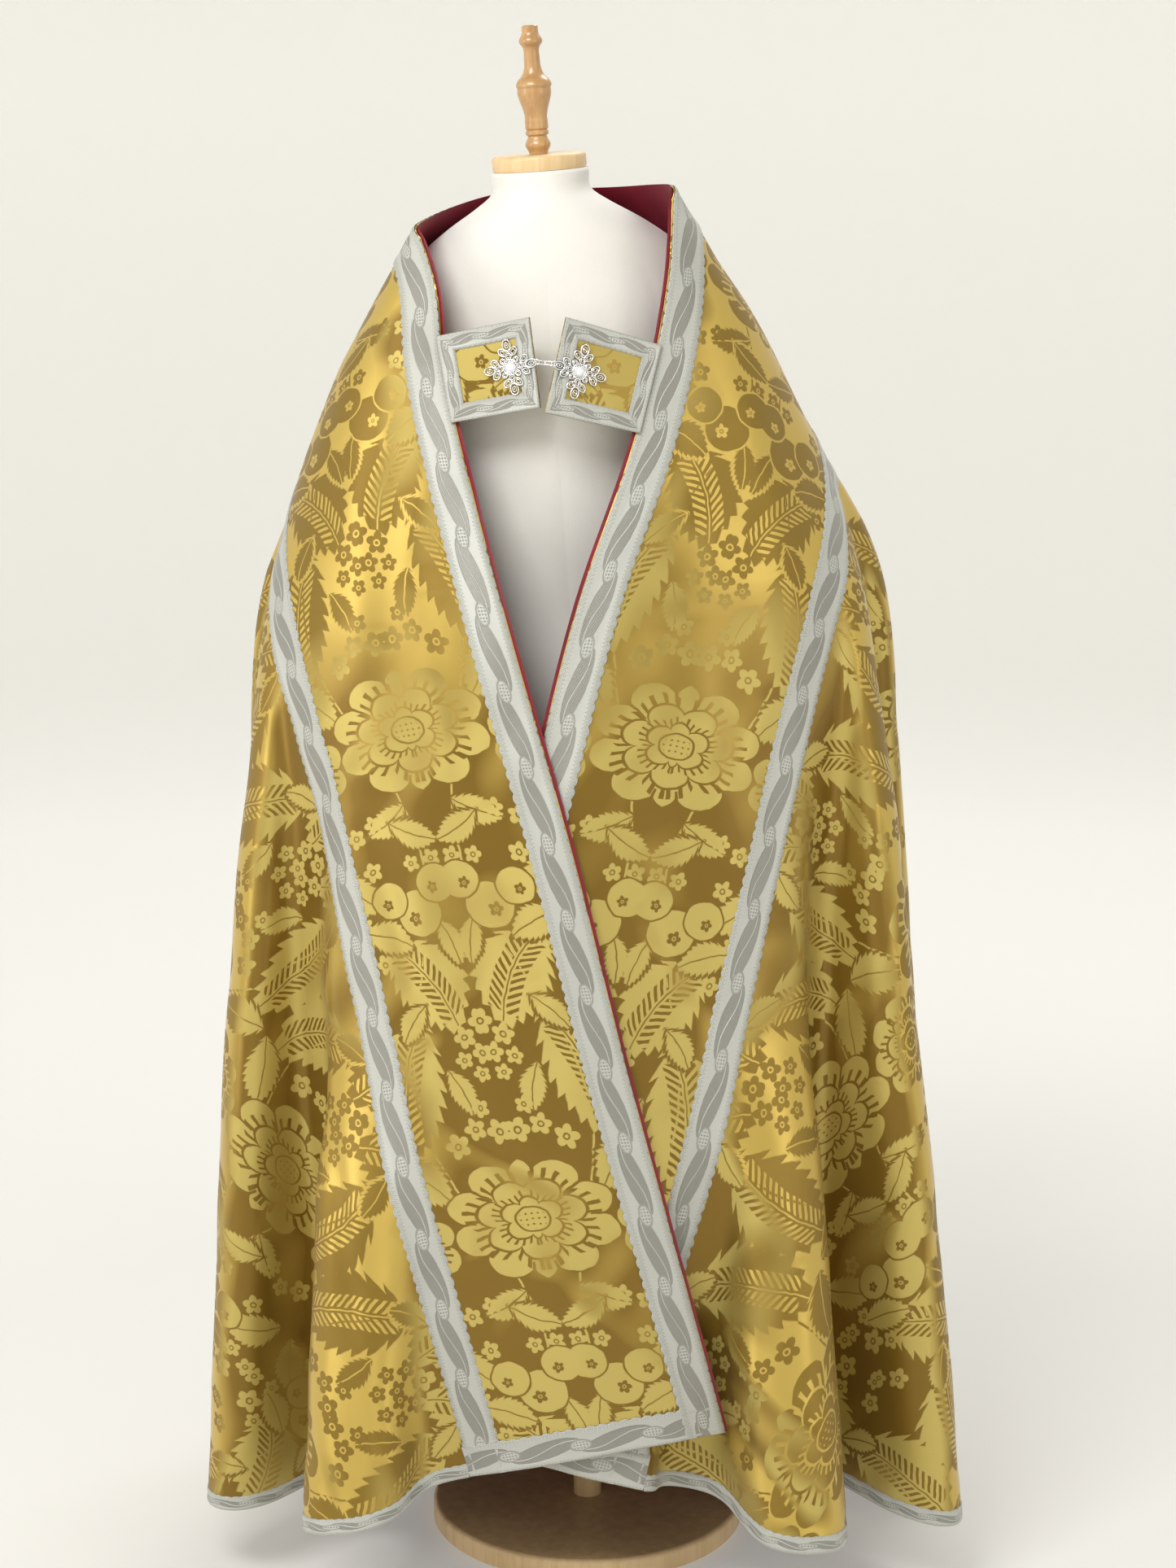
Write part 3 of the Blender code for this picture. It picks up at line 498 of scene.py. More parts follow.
def braid(name, side, kind, material_, lift):
    """A galloon on an orphrey: along its straight edge, its seam or its hem."""
    share, height = braid_columns()
    if kind == "hem":
        low, high = 0.005, ORPHREY + 0.004
        place = np.linspace(low, high, 190)
        width = 0.036
        top = hem_along(np.clip(place, 0.0, None))
        grow = scallop(place)
        along = top[:, None] - 0.0005 - (width * share[None, :])
        along[:, -1] -= grow
        along[:, -2] -= grow
        across = np.broadcast_to(place[:, None], along.shape)
        uv_across = top[:, None] - along
        uv_along = across
        width_uv = width
    else:
        width = EDGE_GALLOON if kind == "edge" else SEAM_GALLOON + 0.002
        start = 0.0008 if kind == "edge" else ORPHREY - SEAM_GALLOON
        length = float(hem_along(np.array([start + width / 2.0]))[0])
        place = np.linspace(0.0, length - 0.001, 1150)
        grow = scallop(place)
        across = start + width * share[None, :] + np.zeros((len(place), 1))
        if kind == "seam":
            across[:, :2] -= grow[:, None]
        across[:, -2:] += grow[:, None]
        if kind == "edge":
            across[:, :2] -= np.minimum(grow, 0.0006)[:, None]
        along = np.broadcast_to(place[:, None], across.shape)
        # The ends follow the curve of the hem
        limit = hem_along(np.clip(across, 0.0, None)) - 0.0006
        along = np.minimum(along, limit)
        uv_across = across - start
        uv_along = along
        width_uv = width
    lifts = np.broadcast_to((height + lift)[None, :], along.shape)
    inside = np.clip(across, 0.0, None)
    point, normal = worn_flat(side, along, inside, lifts)
    uv = np.stack((uv_across - width_uv / 2.0, uv_along), -1)
    return grid_object(name, point, uv, normal, material_)


def hem_braid(name, material_, lift):
    """The narrow galloon round the body's hem."""
    share = np.array((0.0, 0.05, 0.2, 0.5, 0.8, 0.95, 1.0))
    height = np.array((0.0, 0.8, 1.1, 0.8, 1.1, 0.8, 0.0)) * 0.0009
    parts = []
    for side, sign in SIDES.items():
        corner, _ = angle_at(side, hem_along(np.array([ORPHREY])), np.array([ORPHREY]))
        angles = corner[0] + 0.6 + (CENTRE_BACK - corner[0] - 0.6) * np.linspace(0.0, 1.0, 620)
        seam, hem = column_ends(side, angles)
        flat_along, flat_across = flat_at(side, angles, hem)
        steps = np.hypot(np.diff(flat_along), np.diff(flat_across))
        run = np.concatenate(((0.0,), np.cumsum(steps)))
        grow = scallop(run, 0.011, 0.0012)
        drops = hem[None, :] + 0.0004 - HEM_GALLOON * share[:, None]
        drops[-2:] -= grow[None, :]
        drops = np.maximum(drops, seam[None, :] + 0.0002)
        angle = np.broadcast_to(angles[None, :], drops.shape)
        point, normal = worn(side, angle, drops, (height + lift)[:, None] + 0.0 * drops)
        uv = np.stack((HEM_GALLOON * share[:, None] - HEM_GALLOON / 2.0 + 0.0 * drops,
                       sign * run[None, :] + 0.0 * drops), -1)
        parts.append((point, normal, uv))
    left, right = parts
    point = np.concatenate((left[0], right[0][:, ::-1]), axis=1)
    normal = np.concatenate((left[1], right[1][:, ::-1]), axis=1)
    uv = np.concatenate((left[2], right[2][:, ::-1]), axis=1)
    return grid_object(name, point, uv, normal, material_)


# Materials

class Sum:
    """A number in a shader tree, so that patterns can be written as plain arithmetic."""

    def __init__(self, tree, socket):
        self.tree = tree
        self.socket = socket

    def math(self, operation, *others, clamp=False):
        node = self.tree.nodes.new("ShaderNodeMath")
        node.operation = operation
        node.use_clamp = clamp
        for place, value in enumerate((self,) + others):
            if isinstance(value, Sum):
                self.tree.links.new(value.socket, node.inputs[place])
            else:
                node.inputs[place].default_value = value
        return Sum(self.tree, node.outputs[0])

    def __add__(self, other):
        return self.math("ADD", other)

    def __sub__(self, other):
        return self.math("SUBTRACT", other)

    def __mul__(self, other):
        return self.math("MULTIPLY", other)

    def times_plus(self, factor, offset):
        return self.math("MULTIPLY_ADD", factor, offset)

    def minimum(self, other):
        return self.math("MINIMUM", other)

    def maximum(self, other):
        return self.math("MAXIMUM", other)

    def size(self):
        return self.math("ABSOLUTE")

    def wrap(self, low, high):
        return self.math("WRAP", high, low)

    def bounce(self, scale):
        return self.math("PINGPONG", scale)

    def sine(self):
        return self.math("SINE")

    def cosine(self):
        return self.math("COSINE")

    def cover(self, softness=0.0006):
        """1 where the value is above 0, with a soft border."""
        return self.math("MULTIPLY_ADD", 0.5 / softness, 0.5, clamp=True)


def length(x, y):
    node = x.tree.nodes.new("ShaderNodeCombineXYZ")
    size = x.tree.nodes.new("ShaderNodeVectorMath")
    size.operation = "LENGTH"
    x.tree.links.new(x.socket, node.inputs[0])
    x.tree.links.new(y.socket, node.inputs[1])
    x.tree.links.new(node.outputs[0], size.inputs[0])
    return Sum(x.tree, size.outputs["Value"])


def direction(x, y):
    return y.math("ARCTAN2", x)


def new_material(name):
    made = bpy.data.materials.new(name)
    made.use_nodes = True
    tree = made.node_tree
    return made, tree, tree.nodes["Principled BSDF"]


def flat_coordinates(tree, wobble=0.0):
    """Two numbers, the place on the flat cut in metres, a little unsteady."""
    uv = tree.nodes.new("ShaderNodeUVMap")
    uv.uv_map = "flat"
    source = uv.outputs[0]
    if wobble:
        noise = tree.nodes.new("ShaderNodeTexNoise")
        noise.inputs["Scale"].default_value = 70.0
        noise.inputs["Detail"].default_value = 1.0
        tree.links.new(source, noise.inputs["Vector"])
        shift = tree.nodes.new("ShaderNodeVectorMath")
        shift.operation = "MULTIPLY_ADD"
        shift.inputs[1].default_value = (wobble, wobble, 0.0)
        tree.links.new(noise.outputs["Color"], shift.inputs[0])
        tree.links.new(source, shift.inputs[2])
        source = shift.outputs[0]
    parts = tree.nodes.new("ShaderNodeSeparateXYZ")
    tree.links.new(source, parts.inputs[0])
    return Sum(tree, parts.outputs[0]), Sum(tree, parts.outputs[1])


def colour_mix(tree, share, first, second):
    node = tree.nodes.new("ShaderNodeMix")
    node.data_type = "RGBA"
    tree.links.new(share.socket, node.inputs["Factor"])
    for slot, value in (("A", first), ("B", second)):
        socket = [s for s in node.inputs if s.name == slot and s.type == "RGBA"][0]
        if isinstance(value, tuple):
            socket.default_value = (*value, 1.0)
        else:
            tree.links.new(value, socket)
    return [s for s in node.outputs if s.type == "RGBA"][0]


# Colours of the two faces of the damask, each as a painted lit copy and a painted shaded copy: light and shade
# painted into the base colour
GROUND_PAINTED_LIT = (0.54, 0.380, 0.082)
GROUND_PAINTED_SHADE = (0.21, 0.122, 0.012)
MOTIF_PAINTED_LIT = (0.52, 0.405, 0.110)
MOTIF_PAINTED_SHADE = (0.245, 0.152, 0.018)
REPEAT = 0.525             # the pattern's repeat down the cloth
HALF_WIDTH = 0.143         # half its width, mirrored at both sides
OUTLINE = 0.0021           # width of the ground left round a motif that lies over another
# Little five-petalled flowers of the sprigs: place and radius
FLOWERS = (
    (0.010, 0.096, 0.0135), (0.036, 0.100, 0.0120), (0.060, 0.084, 0.0135), (0.024, 0.122, 0.0100),
    (0.000, 0.214, 0.0130), (0.021, 0.198, 0.0120), (0.006, 0.180, 0.0110), (0.028, 0.174, 0.0095),
    (0.012, 0.158, 0.0090),
    (0.118, 0.300, 0.0140), (0.096, 0.286, 0.0105), (0.136, 0.326, 0.0110), (0.110, 0.330, 0.0100),
    (0.118, 0.246, 0.0120), (0.139, 0.262, 0.0100),
    (0.120, -0.086, 0.0135), (0.096, -0.100, 0.0110), (0.072, -0.090, 0.0100), (0.138, -0.066, 0.0100),
    (0.012, 0.390, 0.0100), (0.036, 0.388, 0.0095), (0.086, 0.386, 0.0110),
)
# Leaves: place of the middle, turn, half length, half width, bend
LEAVES = (
    (0.051, 0.258, 1.00, 0.062, 0.044, 0.30),
    (0.096, 0.150, 1.85, 0.082, 0.046, -0.35),
    (0.084, 0.312, 0.40, 0.032, 0.018, 0.20),
    (0.108, 0.366, 0.75, 0.036, 0.020, -0.20),
    (0.108, 0.052, 0.75, 0.040, 0.022, 0.25),
    (0.054, -0.090, 2.70, 0.030, 0.015, 0.20),
    (0.026, -0.106, 0.45, 0.030, 0.015, -0.20),
    (0.040, 0.140, 1.25, 0.028, 0.014, 0.25),
    (0.012, 0.300, 1.30, 0.028, 0.013, 0.25),
    (0.078, 0.218, 2.30, 0.026, 0.014, -0.25),
)
# Fruit: place and radius
FRUIT = ((0.041, 0.334, 0.0260), (0.014, 0.364, 0.0210), (0.073, 0.352, 0.0205))


def over(shape, one):
    """A motif laid over the others, with ground left round it."""
    return shape.minimum(one.times_plus(-1.0, -OUTLINE)).maximum(one)


def lobes(turn, count, low, high, phase=0.0):
    """The edge of a ring of petals between two radii."""
    return turn.times_plus(count / 2.0, phase).sine().size().math("POWER", 0.6).times_plus(high - low, low)


def rosette(dx, dy, radius, petals=2.5):
    """A small flower: above 0 inside it, a dot and a ring left out."""
    r = length(dx, dy)
    edge = (direction(dx, dy) * petals).cosine().size().times_plus(0.42 * radius, 0.62 * radius)
    return (edge - r).minimum((r - 0.24 * radius).size() - 0.07 * radius)


def leaf(x, y, row):
    """A toothed leaf with a ladder of veins: above 0 inside it."""
    at_x, at_y, turn, long, wide, bend = row
    c, s = math.cos(turn), math.sin(turn)
    dx, dy = x - at_x, y - at_y
    u = dx * (c / long) + dy * (s / long)
    bow = (u * u).times_plus(bend, -bend / 2.0)
    v = (dx * (-s / wide) + dy * (c / wide) + bow).size()
    teeth = (u * 4.6 + v * 0.8 + 50.0).math("FRACT")
    edge = ((u * u).times_plus(-1.0, 1.06) - v - teeth * 0.22) * (0.5 * wide)
    if long < 0.045:
        return edge.minimum(v.times_plus(wide, -0.0007))
    rungs = (u * (long / 0.0086) - v * (wide / 0.0105) + 80.0).math("FRACT").times_plus(1.0, -0.5).size()
    rungs = rungs.times_plus(-1.0, 0.24)
    beside = v.times_plus(-1.0, 0.38).minimum(u.size().times_plus(-1.0, 0.70)).minimum(v.times_plus(1.0, -0.07))
    rib = v.times_plus(-wide, 0.0008).minimum(u.size().times_plus(-1.0, 0.86) * wide)
    return edge.minimum(rungs.minimum(beside).times_plus(-wide, 0.0)).minimum(rib * -1.0)


def blossom(dx, dy, size, count):
    """A full blossom: three rings of petals with dark lines and fringes, and a seeded middle."""
    r = length(dx, dy)
    turn = direction(dx, dy)
    outer = lobes(turn, count, 0.76 * size, size)
    second = lobes(turn, count - 2.0, 0.46 * size, 0.66 * size, 0.7)
    third = lobes(turn, count - 4.0, 0.25 * size, 0.38 * size, 0.3)
    line = (r - second).size().maximum(0.0).times_plus(-1.0, 0.0016)
    line = line.maximum((r - third).size().times_plus(-1.0, 0.0014))
    line = line.maximum((r - 0.20 * size).size().times_plus(-1.0, 0.0011))
    strokes = (turn * 32.0).sine().times_plus(0.004, -0.0016)
    band = (r - second).minimum((r - second).times_plus(-1.0, 0.17 * size))
    near = (r - third).minimum((r - third).times_plus(-1.0, 0.11 * size))
    fringe = strokes.minimum(band.maximum(near))
    parting = (turn.times_plus(count / 2.0, 0.0).sine().size().times_plus(-0.02, 0.0022)).minimum(r - second - 0.004)
    seeds = length(dx.wrap(-0.0028, 0.0028), dy.wrap(-0.0034, 0.0034)).times_plus(-1.0, 0.0011)
    seeds = seeds.minimum(r.times_plus(-1.0, 0.16 * size))
    cuts = line.maximum(fringe).maximum(parting).maximum(seeds)
    return (outer - r).minimum(cuts * -1.0), outer - r


def damask_mask(x, y):
    """The woven pattern, 1 on its motifs: a mirrored repeat of blossom, fruit, leaves and sprigs."""
    x = x.bounce(HALF_WIDTH)
    y = y.wrap(-0.125, REPEAT - 0.125)
    shape = leaf(x, y, LEAVES[0])
    for row in LEAVES[1:]:
        shape = over(shape, leaf(x, y, row))
    stem = (x - (y * 12.0).sine().times_plus(0.036, 0.058)).size().times_plus(-1.0, 0.0012)
    free = shape.times_plus(-1.0, -OUTLINE)
    shape = shape.maximum(stem.minimum(free))
    for at_x, at_y, radius in FLOWERS:
        dx, dy = x - at_x, y - at_y
        shape = shape.maximum(rosette(dx, dy, radius))
    for at_x, at_y, radius in FRUIT:
        dx, dy = x - at_x, y - at_y
        one = length(dx, dy * 1.06).times_plus(-1.0, radius)
        star = rosette(dx - 0.2 * radius, dy + 0.2 * radius, 0.30 * radius)
        shape = shape.minimum(one.times_plus(-1.0, -OUTLINE)).maximum(one.minimum(star * -1.0))
    inner, edge = blossom((x - HALF_WIDTH) * 0.9, y + 0.020, 0.050, 8.0)
    shape = shape.minimum(edge.times_plus(-1.0, -OUTLINE)).maximum(inner)
    inner, edge = blossom(x * 0.84, y * 1.18, 0.079, 9.0)
    shape = shape.minimum(edge.times_plus(-1.0, -OUTLINE)).maximum(inner)
    return shape.cover(0.0005)


def tilt(tree):
    """How far the cloth leans back to face the sky: 0 upright, 1 on the shoulders."""
    place = tree.nodes.new("ShaderNodeNewGeometry")
    parts = tree.nodes.new("ShaderNodeSeparateXYZ")
    tree.links.new(place.outputs["Normal"], parts.inputs[0])
    return Sum(tree, parts.outputs[2]), Sum(tree, parts.outputs[0])


def satin_and_painted_light(tree, shader, mask):
    """Warp-faced ground and weft-faced motifs with turned anisotropic gloss; their base colour has painted light and
    shade, where one is painted bright the other is painted dull.
    """
    shade = tree.nodes.new("ShaderNodeTexNoise")
    shade.inputs["Scale"].default_value = 5.0
    shade.inputs["Detail"].default_value = 2.0
    uv = tree.nodes.new("ShaderNodeUVMap")
    uv.uv_map = "flat"
    tree.links.new(uv.outputs[0], shade.inputs["Vector"])
    uneven = Sum(tree, shade.outputs["Fac"])
    up, sideways = tilt(tree)
    # Painted light and shade in the base colour: the ground is painted bright where the cloth leans back or turns
    # aside, the motifs where it hangs upright, with random patches
    painted_light_share = (up * 7.2 + sideways * sideways * 1.5 + uneven * 1.8).times_plus(1.0, -1.77)
    painted_light_share = painted_light_share.math("ADD", 0.0, clamp=True)
    ground = colour_mix(tree, painted_light_share, GROUND_PAINTED_SHADE, GROUND_PAINTED_LIT)
    motif = colour_mix(tree, painted_light_share, MOTIF_PAINTED_LIT, MOTIF_PAINTED_SHADE)
    colour = colour_mix(tree, mask, ground, motif)
    tree.links.new(colour, shader.inputs["Base Color"])
    tree.links.new(mask.times_plus(0.10, 0.33).socket, shader.inputs["Roughness"])
    shader.inputs["Metallic"].default_value = 0.50
    shader.inputs["Anisotropic"].default_value = 0.70
    tree.links.new((mask * 0.25).socket, shader.inputs["Anisotropic Rotation"])
    tangent = tree.nodes.new("ShaderNodeTangent")
    tangent.direction_type = "UV_MAP"
    tangent.uv_map = "flat"
    tree.links.new(tangent.outputs[0], shader.inputs["Tangent"])
    shader.inputs["Sheen Weight"].default_value = 0.05


def weave_bump(tree, shader, height, strength, distance):
    """Relief of the threads of the cloth."""
    bump = tree.nodes.new("ShaderNodeBump")
    bump.inputs["Strength"].default_value = strength
    bump.inputs["Distance"].default_value = distance
    tree.links.new(height.socket, bump.inputs["Height"])
    tree.links.new(bump.outputs[0], shader.inputs["Normal"])


def damask_group():
    """The pattern as one node group, which every piece of the damask shares."""
    group = bpy.data.node_groups.new("damask_pattern", "ShaderNodeTree")
    for word in ("x", "y"):
        group.interface.new_socket(word, in_out="INPUT", socket_type="NodeSocketFloat")
    group.interface.new_socket("mask", in_out="OUTPUT", socket_type="NodeSocketFloat")
    given = group.nodes.new("NodeGroupInput")
    result = group.nodes.new("NodeGroupOutput")
    mask = damask_mask(Sum(group, given.outputs[0]), Sum(group, given.outputs[1]))
    group.links.new(mask.socket, result.inputs[0])
    return group


DAMASK = damask_group()


def damask_material(name, shift, seamed=False):
    made, tree, shader = new_material(name)
    u, v = flat_coordinates(tree, 0.0035)
    pattern = tree.nodes.new("ShaderNodeGroup")
    pattern.node_tree = DAMASK
    tree.links.new(u.socket, pattern.inputs[0])
    tree.links.new(v.times_plus(-1.0, shift).socket, pattern.inputs[1])
    mask = Sum(tree, pattern.outputs[0])
    satin_and_painted_light(tree, shader, mask)
    plain_u, plain_v = flat_coordinates(tree)
    threads = (plain_u * 7000.0).sine().times_plus(0.08, 0.0) + (plain_v * 5200.0).sine() * 0.08
    if seamed:
        # The seam down the centre back, a narrow valley
        threads = threads - plain_u.size().times_plus(-1.0, 0.0014).math("MAXIMUM", 0.0) * 500.0
    weave_bump(tree, shader, threads, 0.25, 0.0004)
    return made


def braid_material(name, width, pitch):
    """Silver and ivory galloon: leaf-shaped windows, seeded almonds, corded borders."""
    made, tree, shader = new_material(name)
    u, v = flat_coordinates(tree, 0.0008)
    half = width / 2.0
    scale = width / 0.042
    border = u.size().times_plus(1.0, -(half - 0.0062 * scale))
    cords = (v * (math.tau / 0.0042) + u * 900.0).sine().times_plus(0.0008, -0.0002)
    border = border + cords
    q = (v * (1.0 / pitch)).math("FRACT")
    swell = (q * math.pi).sine().math("SQRT")
    slant = q.times_plus(-0.012 * scale, 0.006 * scale)
    window = swell * (0.0100 * scale) - (u - slant).size()
    stem = ((u - slant) - (q * math.tau).sine() * (0.0030 * scale)).size().times_plus(-1.0, 0.0006)
    window = window.minimum(stem * -1.0)
    near = (v.times_plus(1.0, pitch / 2.0)).wrap(0.0, pitch) - pitch / 2.0
    almond = length(u * (1.0 / 0.0062 / scale), near * (1.0 / 0.0120)).times_plus(-0.006, 0.006)
    rim = almond.size().times_plus(-1.0, 0.0006)
    dots = length(u.wrap(-0.0016, 0.0016), near.wrap(-0.0018, 0.0018)).times_plus(-1.0, 0.0009)
    seeded = dots.minimum(almond.times_plus(1.0, -0.0012))
    grey = window.minimum(border * -1.0).minimum(almond * -1.0).maximum(seeded).maximum(rim * 0.6)
    mask = grey.cover(0.0004)
    threads = (v * 4200.0 + u * 1500.0).sine().times_plus(0.12, 0.0)
    # Open lace in the borders: rows of small holes that show what lies under
    holes = length(u.wrap(-0.00085, 0.00085), (v + u * 0.4).wrap(-0.00105, 0.00105)).times_plus(-1.0, 0.00052)
    holes = holes.minimum(border.times_plus(1.0, -0.0006)).cover(0.0002)
    satin_stripes = (v * 900.0 + u * 2600.0).sine().times_plus(0.10, 0.0)
    stitches = (u.size() - (half - 0.0016)).size().times_plus(-1.0, 0.00028)
    stitches = stitches.minimum((v * (1.0 / 0.0028)).math("FRACT").times_plus(-0.001, 0.00062)).cover(0.0001)
    holes = holes * stitches.times_plus(-1.0, 1.0)
    mask = (mask + satin_stripes * mask).maximum(holes * 0.75)
    colour = colour_mix(tree, mask, (0.465, 0.47, 0.430), (0.25, 0.245, 0.215))
    tree.links.new(colour, shader.inputs["Base Color"])
    tree.links.new(mask.times_plus(-0.10, 0.46).socket, shader.inputs["Roughness"])
    shader.inputs["Metallic"].default_value = 0.25
    shader.inputs["Sheen Weight"].default_value = 0.15
    weave_bump(tree, shader, mask * -1.0 + threads - stitches * 0.8, 0.6, 0.0009)
    return made


def lining_material():
    made, tree, shader = new_material("lining_satin_and_painted_light")
    noise = tree.nodes.new("ShaderNodeTexNoise")
    noise.inputs["Scale"].default_value = 14.0
    share = Sum(tree, noise.outputs["Fac"])
    colour = colour_mix(tree, share, (0.120, 0.002, 0.010), (0.300, 0.006, 0.032))
    tree.links.new(colour, shader.inputs["Base Color"])
    shader.inputs["Roughness"].default_value = 0.42
    shader.inputs["Anisotropic"].default_value = 0.4
    shader.inputs["Sheen Weight"].default_value = 0.05
    u, v = flat_coordinates(tree)
    threads = (u * 5200.0).sine() + (v * 5200.0).sine()
    weave_bump(tree, shader, threads, 0.12, 0.0003)
    return made


def object_noise(tree, scale, stretch):
    place = tree.nodes.new("ShaderNodeTexCoord")
    mapping = tree.nodes.new("ShaderNodeMapping")
    mapping.inputs["Scale"].default_value = stretch
    noise = tree.nodes.new("ShaderNodeTexNoise")
    noise.inputs["Scale"].default_value = scale
    noise.inputs["Detail"].default_value = 4.0
    tree.links.new(place.outputs["Object"], mapping.inputs[0])
    tree.links.new(mapping.outputs[0], noise.inputs["Vector"])
    return Sum(tree, noise.outputs["Fac"])


def wood_material(name, light, dark, roughness, coat):
    made, tree, shader = new_material(name)
    grain = object_noise(tree, 26.0, (3.0, 3.0, 0.35))
    fine = object_noise(tree, 160.0, (2.0, 2.0, 0.12))
    share = (grain * 1.6 + fine * 0.9 - 0.75).math("ADD", 0.0, clamp=True)
    tree.links.new(colour_mix(tree, share, dark, light), shader.inputs["Base Color"])
    shader.inputs["Roughness"].default_value = roughness
    shader.inputs["Coat Weight"].default_value = coat
    shader.inputs["Coat Roughness"].default_value = 0.15
    weave_bump(tree, shader, fine, 0.15, 0.0005)
    return made


def jersey_material():
    made, tree, shader = new_material("form_jersey")
    soft = object_noise(tree, 9.0, (1.0, 1.0, 1.0))
    colour = colour_mix(tree, soft, (0.66, 0.64, 0.58), (0.80, 0.785, 0.74))
    tree.links.new(colour, shader.inputs["Base Color"])
    shader.inputs["Roughness"].default_value = 0.88
    shader.inputs["Sheen Weight"].default_value = 0.35
    rib = object_noise(tree, 900.0, (1.0, 1.0, 0.35))
    weave_bump(tree, shader, rib, 0.35, 0.0006)
    return made


def silver_material():
    made, tree, shader = new_material("clasp_silver")
    worn_ = object_noise(tree, 240.0, (1.0, 1.0, 1.0))
    tree.links.new(colour_mix(tree, worn_, (0.62, 0.62, 0.62), (0.93, 0.93, 0.93)), shader.inputs["Base Color"])
    tree.links.new(worn_.times_plus(0.20, 0.14).socket, shader.inputs["Roughness"])
    shader.inputs["Metallic"].default_value = 1.0
    return made


def stone_material():
    made, tree, shader = new_material("clasp_stone")
    cloud = object_noise(tree, 300.0, (1.0, 1.0, 1.0))
    tree.links.new(colour_mix(tree, cloud, (0.55, 0.58, 0.60), (0.90, 0.92, 0.93)), shader.inputs["Base Color"])
    shader.inputs["Roughness"].default_value = 0.06
    shader.inputs["Coat Weight"].default_value = 1.0
    return made



MORSE_AT = {"left": (0.342, 0.438), "right": (0.398, 0.494)}
MORSE_INNER = {
    "left": ((-0.0590, -0.166, 1.4050), (-0.0475, -0.168, 1.3130)),
    "right": ((-0.0225, -0.166, 1.4050), (-0.0440, -0.168, 1.3090)),
}
MORSE_OVER = 0.0030
MORSE_WALL = 0.0030
MORSE_FRAME = 0.0180
CROSS_SPAN = 0.056
BRAID_THICK = 0.0010
LIFT = 0.0005
CROSS_LOOPS = (
    (0.0228, 0.0000, 0.0058, 0.0042, 0.0),
    (0.0158, 0.0058, 0.0048, 0.0034, 0.85),
    (0.0158, -0.0058, 0.0048, 0.0034, -0.85),
    (0.0112, 0.0000, 0.0034, 0.0030, 0.0),
    (0.0070, 0.0070, 0.0030, 0.0026, 0.785),
)
CROSS_BEADS = (
    (0.0283, 0.0, 0.0012), (0.0196, 0.0092, 0.0010), (0.0196, -0.0092, 0.0010),
    (0.0166, 0.0, 0.0012), (0.0228, 0.0, 0.0011), (0.0130, 0.0048, 0.0009), (0.0130, -0.0048, 0.0009),
)


def morse_grid(side):
    """Four corners of a tab of the morse and the direction that it faces."""
    along = np.array(MORSE_AT[side])
    angle, drop = angle_at(side, along, np.full_like(along, MORSE_OVER))
    point, normal = smooth(side, angle, drop)
    outer = point + normal * (BRAID_THICK + 2.0 * LIFT)
    grid = np.stack((outer, np.array(MORSE_INNER[side])), axis=1)
    face = np.cross(grid[0, 1] - grid[0, 0], grid[1, 0] - grid[0, 0])
    face /= np.linalg.norm(face)
    if face[1] > 0.0:
        face = -face
    grid[1, 1, 1] -= np.dot(grid[1, 1] - grid[0, 0], face) / face[1]
    return grid, face


def patch(grid, u, v):
    """Points of a four-cornered patch; u runs from the outer to the inner side, v down."""
    u, v = u[..., None], v[..., None]
    top = grid[0, 0] + (grid[0, 1] - grid[0, 0]) * u
    low = grid[1, 0] + (grid[1, 1] - grid[1, 0]) * u
    return top + (low - top) * v


def morse_plate(side, grid, face):
    """The damask tab: slightly padded, its edges turned back."""
    share = np.concatenate(((0.0, 0.0, 0.004, 0.012), np.linspace(0.03, 0.97, 28), (0.988, 0.996, 1.0, 1.0)))
    fall = np.concatenate(((-1.0, -0.4, -0.12, 0.0), np.zeros(28), (0.0, -0.12, -0.4, -1.0))) * MORSE_WALL
    v, u = np.meshgrid(share, share, indexing="ij")
    height = MORSE_WALL + np.minimum(fall[:, None], fall[None, :])
    height = height - 0.0006 * (1.0 - np.sin(np.pi * u) * np.sin(np.pi * v))
    height = height + 0.0003 * np.sin(u * 9.0 + v * 4.0) * np.sin(np.pi * u) * np.sin(np.pi * v)
    point = patch(grid, u, v) + face * np.maximum(height, 0.0001)[..., None]
    wide = np.linalg.norm(grid[0, 1] - grid[0, 0])
    tall = np.linalg.norm(grid[1, 0] - grid[0, 0])
    uv = np.stack((u * wide, v * tall), -1)
    normal = np.broadcast_to(face, point.shape)
    return grid_object("morse_tab_" + side, point, uv, normal, GOLD_MORSE)


